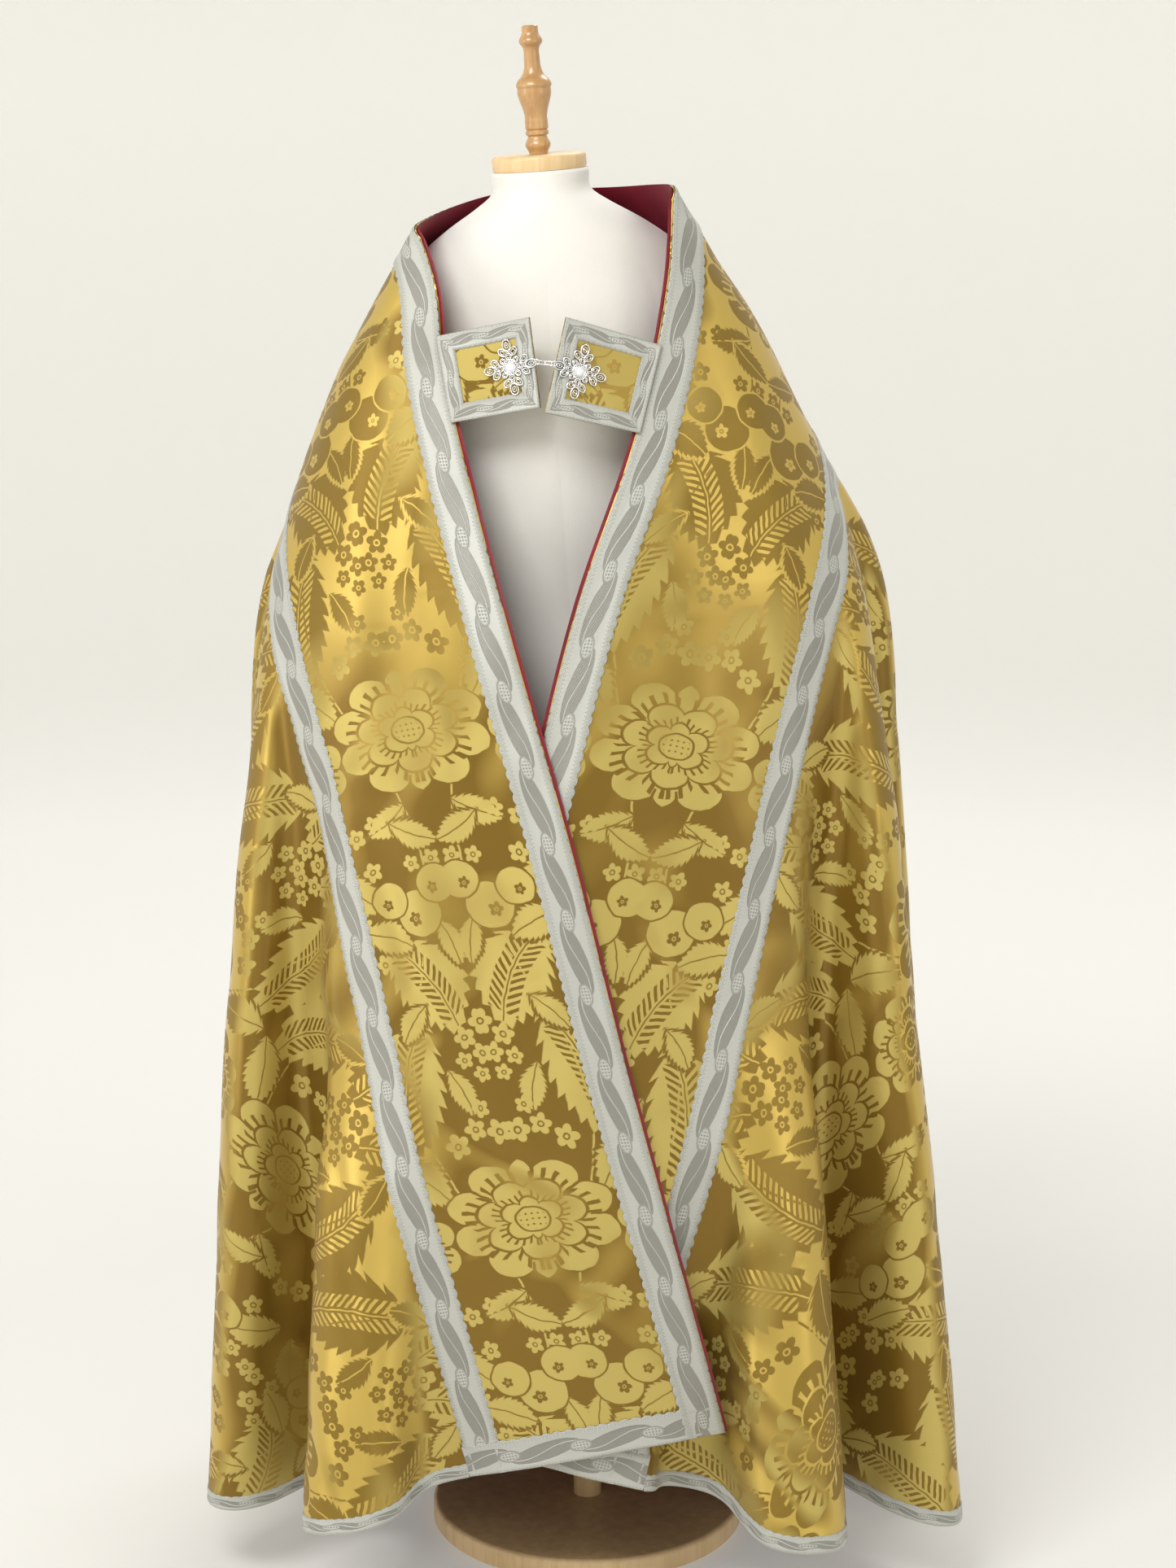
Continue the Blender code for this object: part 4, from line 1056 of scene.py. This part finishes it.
def morse_braid(side, grid, face):
    """Galloon round a tab, mitred at its corners."""
    share, height = braid_columns()
    loop = [grid[0, 0], grid[0, 1], grid[1, 1], grid[1, 0]]
    wide = np.linalg.norm(grid[0, 1] - grid[0, 0])
    tall = np.linalg.norm(grid[1, 0] - grid[0, 0])
    pieces = []
    inner = patch(grid, np.array((MORSE_FRAME / wide, 1.0 - MORSE_FRAME / wide) * 2).reshape(2, 2),
                  np.array(((MORSE_FRAME / tall,) * 2, (1.0 - MORSE_FRAME / tall,) * 2)))
    inside = [inner[0, 0], inner[0, 1], inner[1, 1], inner[1, 0]]
    for k in range(4):
        a, b = loop[k], loop[(k + 1) % 4]
        c, d = inside[k], inside[(k + 1) % 4]
        long = np.linalg.norm(b - a)
        rows = int(long / 0.0014)
        t = np.linspace(0.0, 1.0, rows)[:, None, None]
        w = share[None, :, None]
        grow = scallop(t[..., 0] * long, 0.009, 0.0009) * np.sin(np.pi * np.clip(t[..., 0], 0.03, 0.97)) ** 0.3
        w = w + np.where(share > 0.9, grow / MORSE_FRAME, 0.0)[..., None]
        outer_line = a + (b - a) * t
        inner_line = c + (d - c) * t
        point = outer_line + (inner_line - outer_line) * w
        up = MORSE_WALL + 0.0001 + 0.85 * height[None, :] + np.zeros((rows, 1))
        point = point + face * up[..., None]
        uv = np.stack(np.broadcast_arrays((share[None, :] - 0.5) * MORSE_FRAME,
                                          t[..., 0] * long + 0.017 * k), -1)
        pieces.append((point, uv, np.broadcast_to(face, point.shape)))
    return grids_object("morse_braid_" + side, pieces, BRAID_MORSE)


def ring(work, centre, axes, large, small, steps=18, sides=6, stretch=1.0, turn=0.0):
    """A loop of wire lying in the plane of the first two axes."""
    first, second, out = axes
    rows = []
    for i in range(steps):
        a = math.tau * i / steps
        long, wide = large * stretch * math.cos(a), large * math.sin(a)
        du = long * math.cos(turn) - wide * math.sin(turn)
        dv = long * math.sin(turn) + wide * math.cos(turn)
        nu, nv = math.cos(a) / stretch, math.sin(a)
        norm = math.hypot(nu, nv)
        nu, nv = nu / norm, nv / norm
        mu = nu * math.cos(turn) - nv * math.sin(turn)
        mv = nu * math.sin(turn) + nv * math.cos(turn)
        row = []
        for j in range(sides):
            b = math.tau * j / sides
            r = small * math.cos(b)
            p = centre + first * (du + mu * r) + second * (dv + mv * r) + out * (small * math.sin(b))
            row.append(work.verts.new(tuple(p)))
        rows.append(row)
    for i in range(steps):
        for j in range(sides):
            work.faces.new((rows[i][j], rows[(i + 1) % steps][j],
                            rows[(i + 1) % steps][(j + 1) % sides], rows[i][(j + 1) % sides]))


def bead(work, centre, axes, radius, flat=1.0, steps=8):
    place = Matrix((tuple(axes[0]), tuple(axes[1]), tuple(axes[2]))).transposed().to_4x4()
    place = Matrix.Translation(tuple(centre)) @ place @ Matrix.Diagonal((radius, radius, radius * flat, 1.0))
    bmesh.ops.create_uvsphere(work, u_segments=steps, v_segments=steps // 2 + 1, radius=1.0, matrix=place)


def finish_mesh(name, work, material_):
    mesh = bpy.data.meshes.new(name)
    bmesh.ops.recalc_face_normals(work, faces=work.faces)
    work.to_mesh(mesh)
    work.free()
    mesh.shade_smooth()
    return new_object(name, mesh, material_)


def cross(side, grid, face):
    """One filigree cross of the clasp: wire loops, beads and a cut stone in its middle."""
    first = (grid[0, 1] - grid[0, 0]) / np.linalg.norm(grid[0, 1] - grid[0, 0])
    second = np.cross(face, first)
    middle = (grid[0, 1] + grid[1, 1]) / 2.0 - first * (CROSS_SPAN / 2.0 - 0.002)
    start = middle + face * (MORSE_WALL + BRAID_THICK + 0.0014)
    axes = (first, second, face)
    work = bmesh.new()
    for arm in range(4):
        a = math.tau * arm / 4.0
        u = first * math.cos(a) + second * math.sin(a)
        v = -first * math.sin(a) + second * math.cos(a)
        local = (u, v, face)
        # Each arm ends in three open loops: place along and beside it, half length, half width, turn
        for away, beside, long, wide, turn in CROSS_LOOPS:
            spot = start + u * away + v * beside
            ring(work, spot, local, wide, 0.00085, stretch=long / wide, turn=turn)
            ring(work, spot + face * 0.0003, local, 0.50 * wide, 0.00050, stretch=long / wide, turn=turn, steps=12)
        for away, beside, size in CROSS_BEADS:
            bead(work, start + u * away + v * beside, local, size)
    for count, radius, size in ((16, 0.0066, 0.00085), (16, 0.0083, 0.00060)):
        for step in range(count):
            a = math.tau * step / count
            spot = start + first * (radius * math.cos(a)) + second * (radius * math.sin(a))
            bead(work, spot, axes, size)
    ring(work, start, axes, 0.0076, 0.0009, steps=36)
    ring(work, start + face * 0.0008, axes, 0.0055, 0.0010, steps=32)
    metal = finish_mesh("clasp_filigree_" + side, work, SILVER)
    # The stone: a cut dome with flat facets
    work = bmesh.new()
    rows = []
    for radius, height in ((0.0050, 0.0004), (0.0046, 0.0016), (0.0034, 0.0025), (0.0018, 0.0029)):
        rows.append([work.verts.new(tuple(start + first * (radius * math.cos(math.tau * (k + len(rows) / 2.0) / 8.0))
                                          + second * (radius * math.sin(math.tau * (k + len(rows) / 2.0) / 8.0))
                                          + face * height)) for k in range(8)])
    for low, high in zip(rows, rows[1:]):
        for k in range(8):
            work.faces.new((low[k], low[(k + 1) % 8], high[k]))
            work.faces.new((low[(k + 1) % 8], high[(k + 1) % 8], high[k]))
    work.faces.new(rows[-1])
    stone = finish_mesh("clasp_stone_" + side, work, STONE)
    for polygon in stone.data.polygons:
        polygon.use_smooth = False
    return metal, stone, start + first * 0.0292


def tube(work, path, radius, sides=8):
    rows = []
    for i, p in enumerate(path):
        ahead = Vector(path[min(i + 1, len(path) - 1)]) - Vector(path[max(i - 1, 0)])
        turn = ahead.to_track_quat("Z", "Y")
        rows.append([work.verts.new(Vector(p) + turn @ Vector((radius * math.cos(math.tau * k / sides),
                                                             radius * math.sin(math.tau * k / sides), 0.0)))
                     for k in range(sides)])
    for low, high in zip(rows, rows[1:]):
        for k in range(sides):
            work.faces.new((low[k], low[(k + 1) % sides], high[(k + 1) % sides], high[k]))
    work.faces.new(rows[0][::-1])
    work.faces.new(rows[-1])


def build_morse():
    tips = []
    for side in SIDES:
        grid, face = morse_grid(side)
        tab = morse_plate(side, grid, face)
        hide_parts("morse_" + side)
        border = morse_braid(side, grid, face)
        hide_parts("morse_frame_" + side)
        metal, stone, tip = cross(side, grid, face)
        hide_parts("clasp_" + side)
        tips.append(tip)
    # Hook and eye: a bent wire from one cross, caught in a ring of the other
    left, right = tips
    way = (right - left) / np.linalg.norm(right - left)
    out = np.array((0.0, -1.0, 0.0))
    up = np.array((0.0, 0.0, 1.0))
    work = bmesh.new()
    gap = np.linalg.norm(right - left)
    path = []
    for k in range(25):
        t = k / 24.0
        bend = math.sin(math.pi * t) * 0.0012
        side_step = 0.0019 if k < 20 else 0.0019 * math.cos((k - 20) / 4.0 * math.pi)
        path.append(tuple(left + way * (gap * 1.02 * min(t * 1.15, 1.0)) + up * side_step + out * bend))
    tube(work, path, 0.00075)
    path = [(p[0], p[1], p[2] - 0.0036) for p in path[:21]]
    tube(work, path, 0.00075)
    ring(work, right + way * 0.0004, (way, up, out), 0.0026, 0.0007, steps=22)
    ring(work, left - way * 0.0004, (way, up, out), 0.0026, 0.0007, steps=22)
    bead(work, left + way * (gap * 0.5) + out * 0.0012, (way, up, out), 0.0013)
    hook = finish_mesh("clasp_hook_and_eye", work, SILVER)
    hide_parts("clasp_hook")


FORM_TILT = math.radians(4.0)
TORSO_BOTTOM = 0.785
TORSO = np.array((
    (0.785, 0.120, 0.080, 0.080, 0.000), (0.797, 0.158, 0.108, 0.108, 0.000),
    (0.845, 0.172, 0.120, 0.120, 0.000), (0.945, 0.165, 0.116, 0.116, 0.000),
    (1.045, 0.145, 0.104, 0.100, 0.000), (1.145, 0.155, 0.112, 0.108, 0.000),
    (1.245, 0.168, 0.118, 0.118, 0.000), (1.335, 0.172, 0.106, 0.116, -0.006),
    (1.385, 0.165, 0.088, 0.104, -0.014), (1.420, 0.140, 0.076, 0.088, -0.020),
    (1.450, 0.102, 0.064, 0.072, -0.026), (1.470, 0.070, 0.056, 0.060, -0.030),
    (1.480, 0.056, 0.052, 0.054, -0.030), (1.506, 0.052, 0.050, 0.050, -0.030),
))
FINIAL_PROFILE = (
    (0.0070, 0.1330), (0.0086, 0.1312), (0.0086, 0.1260), (0.0125, 0.1165), (0.0086, 0.1095),
    (0.0084, 0.0980), (0.0097, 0.0868), (0.0120, 0.0815), (0.0172, 0.0758), (0.0189, 0.0710),
    (0.0178, 0.0680), (0.0180, 0.0640), (0.0163, 0.0560), (0.0131, 0.0455), (0.0118, 0.0376),
    (0.0122, 0.0340), (0.0122, 0.0265), (0.0108, 0.0250), (0.0122, 0.0235), (0.0122, 0.0205),
    (0.0100, 0.0185), (0.0135, 0.0095), (0.0100, 0.0010), (0.0100, 0.0000),
)


def form_place():
    """Where the solids' form stands: it leans, and rises until it carries the cope."""
    pivot = Vector((0.0, 0.0, TORSO_BOTTOM))
    lean = Matrix.Translation(pivot) @ Matrix.Rotation(-FORM_TILT, 4, "Y") @ Matrix.Translation(-pivot)
    low = min((lean @ Vector((TORSO[0, 1] * math.sin(a), -TORSO[0, 2] * math.cos(a), TORSO_BOTTOM)))[2]
              for a in np.linspace(0.0, math.tau, 28, endpoint=False))
    return Matrix.Translation((0.0, 0.0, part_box("form_torso")[0][2] - low)) @ lean


def curve_through(values, knots, places):
    """Smooth values between table rows, without overshooting them."""
    slopes = np.gradient(values, knots)
    steps = np.diff(values) / np.diff(knots)
    for k in range(1, len(values) - 1):
        if steps[k - 1] * steps[k] <= 0.0:
            slopes[k] = 0.0
    row = np.clip(np.searchsorted(knots, places) - 1, 0, len(knots) - 2)
    span = knots[row + 1] - knots[row]
    part = (places - knots[row]) / span
    rest = 1.0 - part
    return ((1.0 + 2.0 * part) * rest ** 2 * values[row] + part * rest ** 2 * span * slopes[row]
            + part ** 2 * (3.0 - 2.0 * part) * values[row + 1] - part ** 2 * rest * span * slopes[row + 1])


def build_torso(place):
    """The padded torso in jersey, with its long seams and a neat lower rim."""
    heights = np.linspace(TORSO[0, 0], TORSO[-1, 0], 170)
    columns = [curve_through(TORSO[:, k], TORSO[:, 0], heights) for k in range(5)]
    turn = np.linspace(0.0, math.tau, 145)
    half, front, back, middle = (c[:, None] for c in columns[1:])
    cosine = np.cos(turn)[None, :]
    depth = np.where(cosine > 0.0, front, back)
    seam = np.zeros(turn.shape)
    for centre in (0.0, 0.72, 2.42, math.pi, math.tau - 2.42, math.tau - 0.72, math.tau):
        seam = seam + np.exp(-((turn - centre) / 0.028) ** 2)
    shrink = 1.0 - 0.006 * seam[None, :] * smooth_step((1.43 - heights) / 0.06)[:, None]
    x = half * np.sin(turn)[None, :] * shrink
    y = middle - depth * cosine * shrink
    z = np.broadcast_to(heights[:, None], x.shape)
    point = np.stack((x, y, z), -1)
    # Closed below and above
    for end, row in ((0, 0), (-1, -1)):
        centre = point[row].mean(axis=0)
        caps = [centre + (point[row] - centre) * k for k in (0.985, 0.6, 0.0)]
        caps = np.array(caps)
        point = np.concatenate((caps[::-1], point)) if end == 0 else np.concatenate((point, caps))
    uv = np.stack(np.broadcast_arrays(turn[None, :] * 0.15, point[..., 2]), -1)
    flat = np.array(place)
    point = point @ flat[:3, :3].T + flat[:3, 3]
    away = point - point.mean(axis=(0, 1))
    torso = grid_object("form_torso_jersey", point, uv, away, jersey_material())
    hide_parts("form_torso")


def lathe(name, profile, place, material_, node, sides=64):
    turn = np.linspace(0.0, math.tau, sides + 1)
    radius = np.array([0.0] + [r for r, _ in profile] + [0.0])
    height = np.array([profile[0][1]] + [h for _, h in profile] + [profile[-1][1]])
    point = np.stack((radius[:, None] * np.cos(turn), radius[:, None] * np.sin(turn),
                      np.broadcast_to(height[:, None], (len(radius), len(turn)))), -1)
    uv = np.stack(np.broadcast_arrays(turn[None, :] * 0.02, height[:, None]), -1)
    flat = np.array(place)
    point = point @ flat[:3, :3].T + flat[:3, 3]
    away = point - point.mean(axis=(0, 1))
    made = grid_object(name, point, uv, away, material_)
    made.data.set_sharp_from_angle(angle=math.radians(50.0))
    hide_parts(node)
    return made


def softened(profile, steps=5):
    """The turned profile with rounded beads: a smooth curve through its points."""
    points = np.array(profile)
    run = np.concatenate(((0.0,), np.cumsum(np.hypot(*np.diff(points, axis=0).T))))
    places = np.concatenate([np.linspace(a, b, steps, endpoint=False) for a, b in zip(run, run[1:])] + [run[-1:]])
    radius = curve_through(points[:, 0], run, places)
    height = curve_through(points[:, 1], run, places)
    return list(zip(radius, height))


def build_form():
    place = form_place()
    build_torso(place)
    beech = wood_material("beech_varnished", (0.52, 0.31, 0.125), (0.36, 0.19, 0.065), 0.34, 0.45)
    pale = wood_material("wood_pale", (0.78, 0.58, 0.32), (0.62, 0.42, 0.20), 0.48, 0.2)
    cap_at = place @ Matrix.Translation((0.0, TORSO[-1, 4], TORSO[-1, 0] + 0.0003))
    arc = [(0.046 + 0.004 * math.sin(a), 0.012 + 0.004 * math.cos(a)) for a in np.linspace(0.0, math.pi / 2, 6)]
    lathe("neck_cap_turned", [(0.030, 0.016)] + arc + [(0.050, 0.003), (0.049, 0.0)], cap_at, pale, "neck_cap",
          96)
    top = cap_at @ Matrix.Translation((0.0, 0.0, 0.0163))
    lathe("finial_turned", softened(FINIAL_PROFILE), top, beech, "finial", 56)
    low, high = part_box("pole")
    lathe("pole_turned", [(0.016, high[2]), (0.016, low[2])], Matrix.Identity(4), pale, "pole", 48)
    arc = [(0.174 + 0.006 * math.sin(a), 0.018 + 0.006 * math.cos(a)) for a in np.linspace(0.0, math.pi / 2, 8)]
    lathe("base_turned", [(0.10, 0.024)] + arc + [(0.180, 0.0015), (0.1788, 0.0)], Matrix.Identity(4), pale,
          "base", 144)


GOLD_LEFT = damask_material("orphrey_damask_left", 0.2243)
GOLD_RIGHT = damask_material("orphrey_damask_right", 0.2853)
GOLD_BODY = damask_material("body_damask", 0.0, seamed=True)
GOLD_MORSE = damask_material("morse_damask", 0.3650)
BRAID = braid_material("galloon_wide", 0.042, 0.080)
BRAID_MORSE = braid_material("galloon_morse", 0.018, 0.048)
BRAID_HEM = braid_material("galloon_narrow", 0.017, 0.045)
LINING = lining_material()
SILVER = silver_material()
STONE = stone_material()


def build_cloth():
    body = body_shell("body_cloth", 345, 105, 0.0, GOLD_BODY, True)
    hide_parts("cope_body_left", "cope_body_right")
    body_lining = body_shell("body_lining", 190, 60, -WALL - 0.0008, LINING, False)
    hem = hem_braid("body_hem_galloon", BRAID_HEM, 0.0002)
    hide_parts("galloon_hem")
    for side in SIDES:
        gold = GOLD_LEFT if side == "left" else GOLD_RIGHT
        panel = orphrey_shell("orphrey_cloth_" + side, side, 480, 58, 0.0, gold, True)
        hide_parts("orphrey_" + side)
        back = orphrey_shell("orphrey_lining_" + side, side, 300, 24, -WALL - 0.0004, LINING, False)
        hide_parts("lining_" + side)
        for kind in ("seam", "hem", "edge"):
            lift = {"seam": 0.0002, "hem": 0.0006, "edge": 0.0010}[kind]
            strip = braid("galloon_" + kind + "_braid_" + side, side, kind, BRAID, lift)
            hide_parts("galloon_" + kind + "_" + side)


build_cloth()
build_morse()
build_form()

camera_data = bpy.data.cameras.new("camera")
camera_data.sensor_fit = "AUTO"
camera_data.sensor_width = 36.0
camera_data.lens = CAMERA_LENS
camera_data.clip_end = 60.0
camera = bpy.data.objects.new("camera", camera_data)
camera.location = CAMERA
camera.rotation_euler = (math.radians(CAMERA_PITCH), 0.0, 0.0)
bpy.context.scene.collection.objects.link(camera)
bpy.context.scene.camera = camera


def build_set():
    """Plain pale floor that rises into a round wall far behind every side, and soft lights."""
    profile = [(0.0, 0.0), (1.0, 0.0), (2.4, 0.0), (5.2, 0.0)]
    profile += [(5.2 + 1.5 * math.sin(math.radians(a)), 1.5 - 1.5 * math.cos(math.radians(a)))
                for a in range(10, 91, 10)]
    profile += [(6.7, 9.0)]
    work = bmesh.new()
    rings = [[work.verts.new((r * math.cos(math.tau * k / 72), r * math.sin(math.tau * k / 72), z - 0.0004))
              for k in range(72)] for r, z in profile[1:]]
    for low, high in zip(rings, rings[1:]):
        for k in range(72):
            work.faces.new((low[k], high[k], high[(k + 1) % 72], low[(k + 1) % 72]))
    work.faces.new(rings[0])
    mesh = bpy.data.meshes.new("floor")
    work.to_mesh(mesh)
    work.free()
    mesh.shade_smooth()
    floor = bpy.data.objects.new("floor", mesh)
    bpy.context.scene.collection.objects.link(floor)
    made, tree, shader = new_material("floor_paper")
    # The floor gets most of the light, so its paper is the greyer one
    place = tree.nodes.new("ShaderNodeTexCoord")
    parts = tree.nodes.new("ShaderNodeSeparateXYZ")
    tree.links.new(place.outputs["Object"], parts.inputs[0])
    away = length(Sum(tree, parts.outputs[0]), Sum(tree, parts.outputs[1]))
    away = away.times_plus(0.4, -0.4).math("ADD", 0.0, clamp=True)
    tree.links.new(colour_mix(tree, away, (0.62, 0.61, 0.58), (0.87, 0.86, 0.82)), shader.inputs["Base Color"])
    shader.inputs["Roughness"].default_value = 0.9
    shader.inputs["Emission Color"].default_value = (0.90, 0.89, 0.86, 1.0)
    shader.inputs["Emission Strength"].default_value = 0.22
    mesh.materials.append(made)

    def area(name, place, aim, size, power, colour=(1.0, 1.0, 1.0)):
        data = bpy.data.lights.new(name, "AREA")
        data.shape = "RECTANGLE"
        data.size, data.size_y = size
        data.energy = power
        data.color = colour
        light = bpy.data.objects.new(name, data)
        light.location = place
        light.rotation_euler = (Vector(aim) - Vector(place)).to_track_quat("-Z", "Y").to_euler()
        bpy.context.scene.collection.objects.link(light)

    area("key", (-1.1, -2.3, 3.3), (0.0, 0.0, 0.9), (1.8, 1.0), 78.0)
    area("fill", (2.6, -2.4, 1.8), (0.0, 0.0, 0.8), (1.0, 2.2), 14.0, (1.0, 0.99, 0.96))
    area("side", (-2.8, -1.2, 1.6), (0.0, 0.0, 0.8), (0.8, 2.2), 20.0, (1.0, 0.98, 0.95))
    area("back", (0.6, 1.6, 3.2), (0.0, 0.6, 0.6), (2.0, 1.2), 40.0)
    world = bpy.data.worlds.new("world")
    world.use_nodes = True
    world.node_tree.nodes["Background"].inputs[0].default_value = (0.96, 0.95, 0.92, 1.0)
    world.node_tree.nodes["Background"].inputs[1].default_value = 0.21
    bpy.context.scene.world = world
    bpy.context.scene.view_settings.view_transform = "Standard"


build_set()
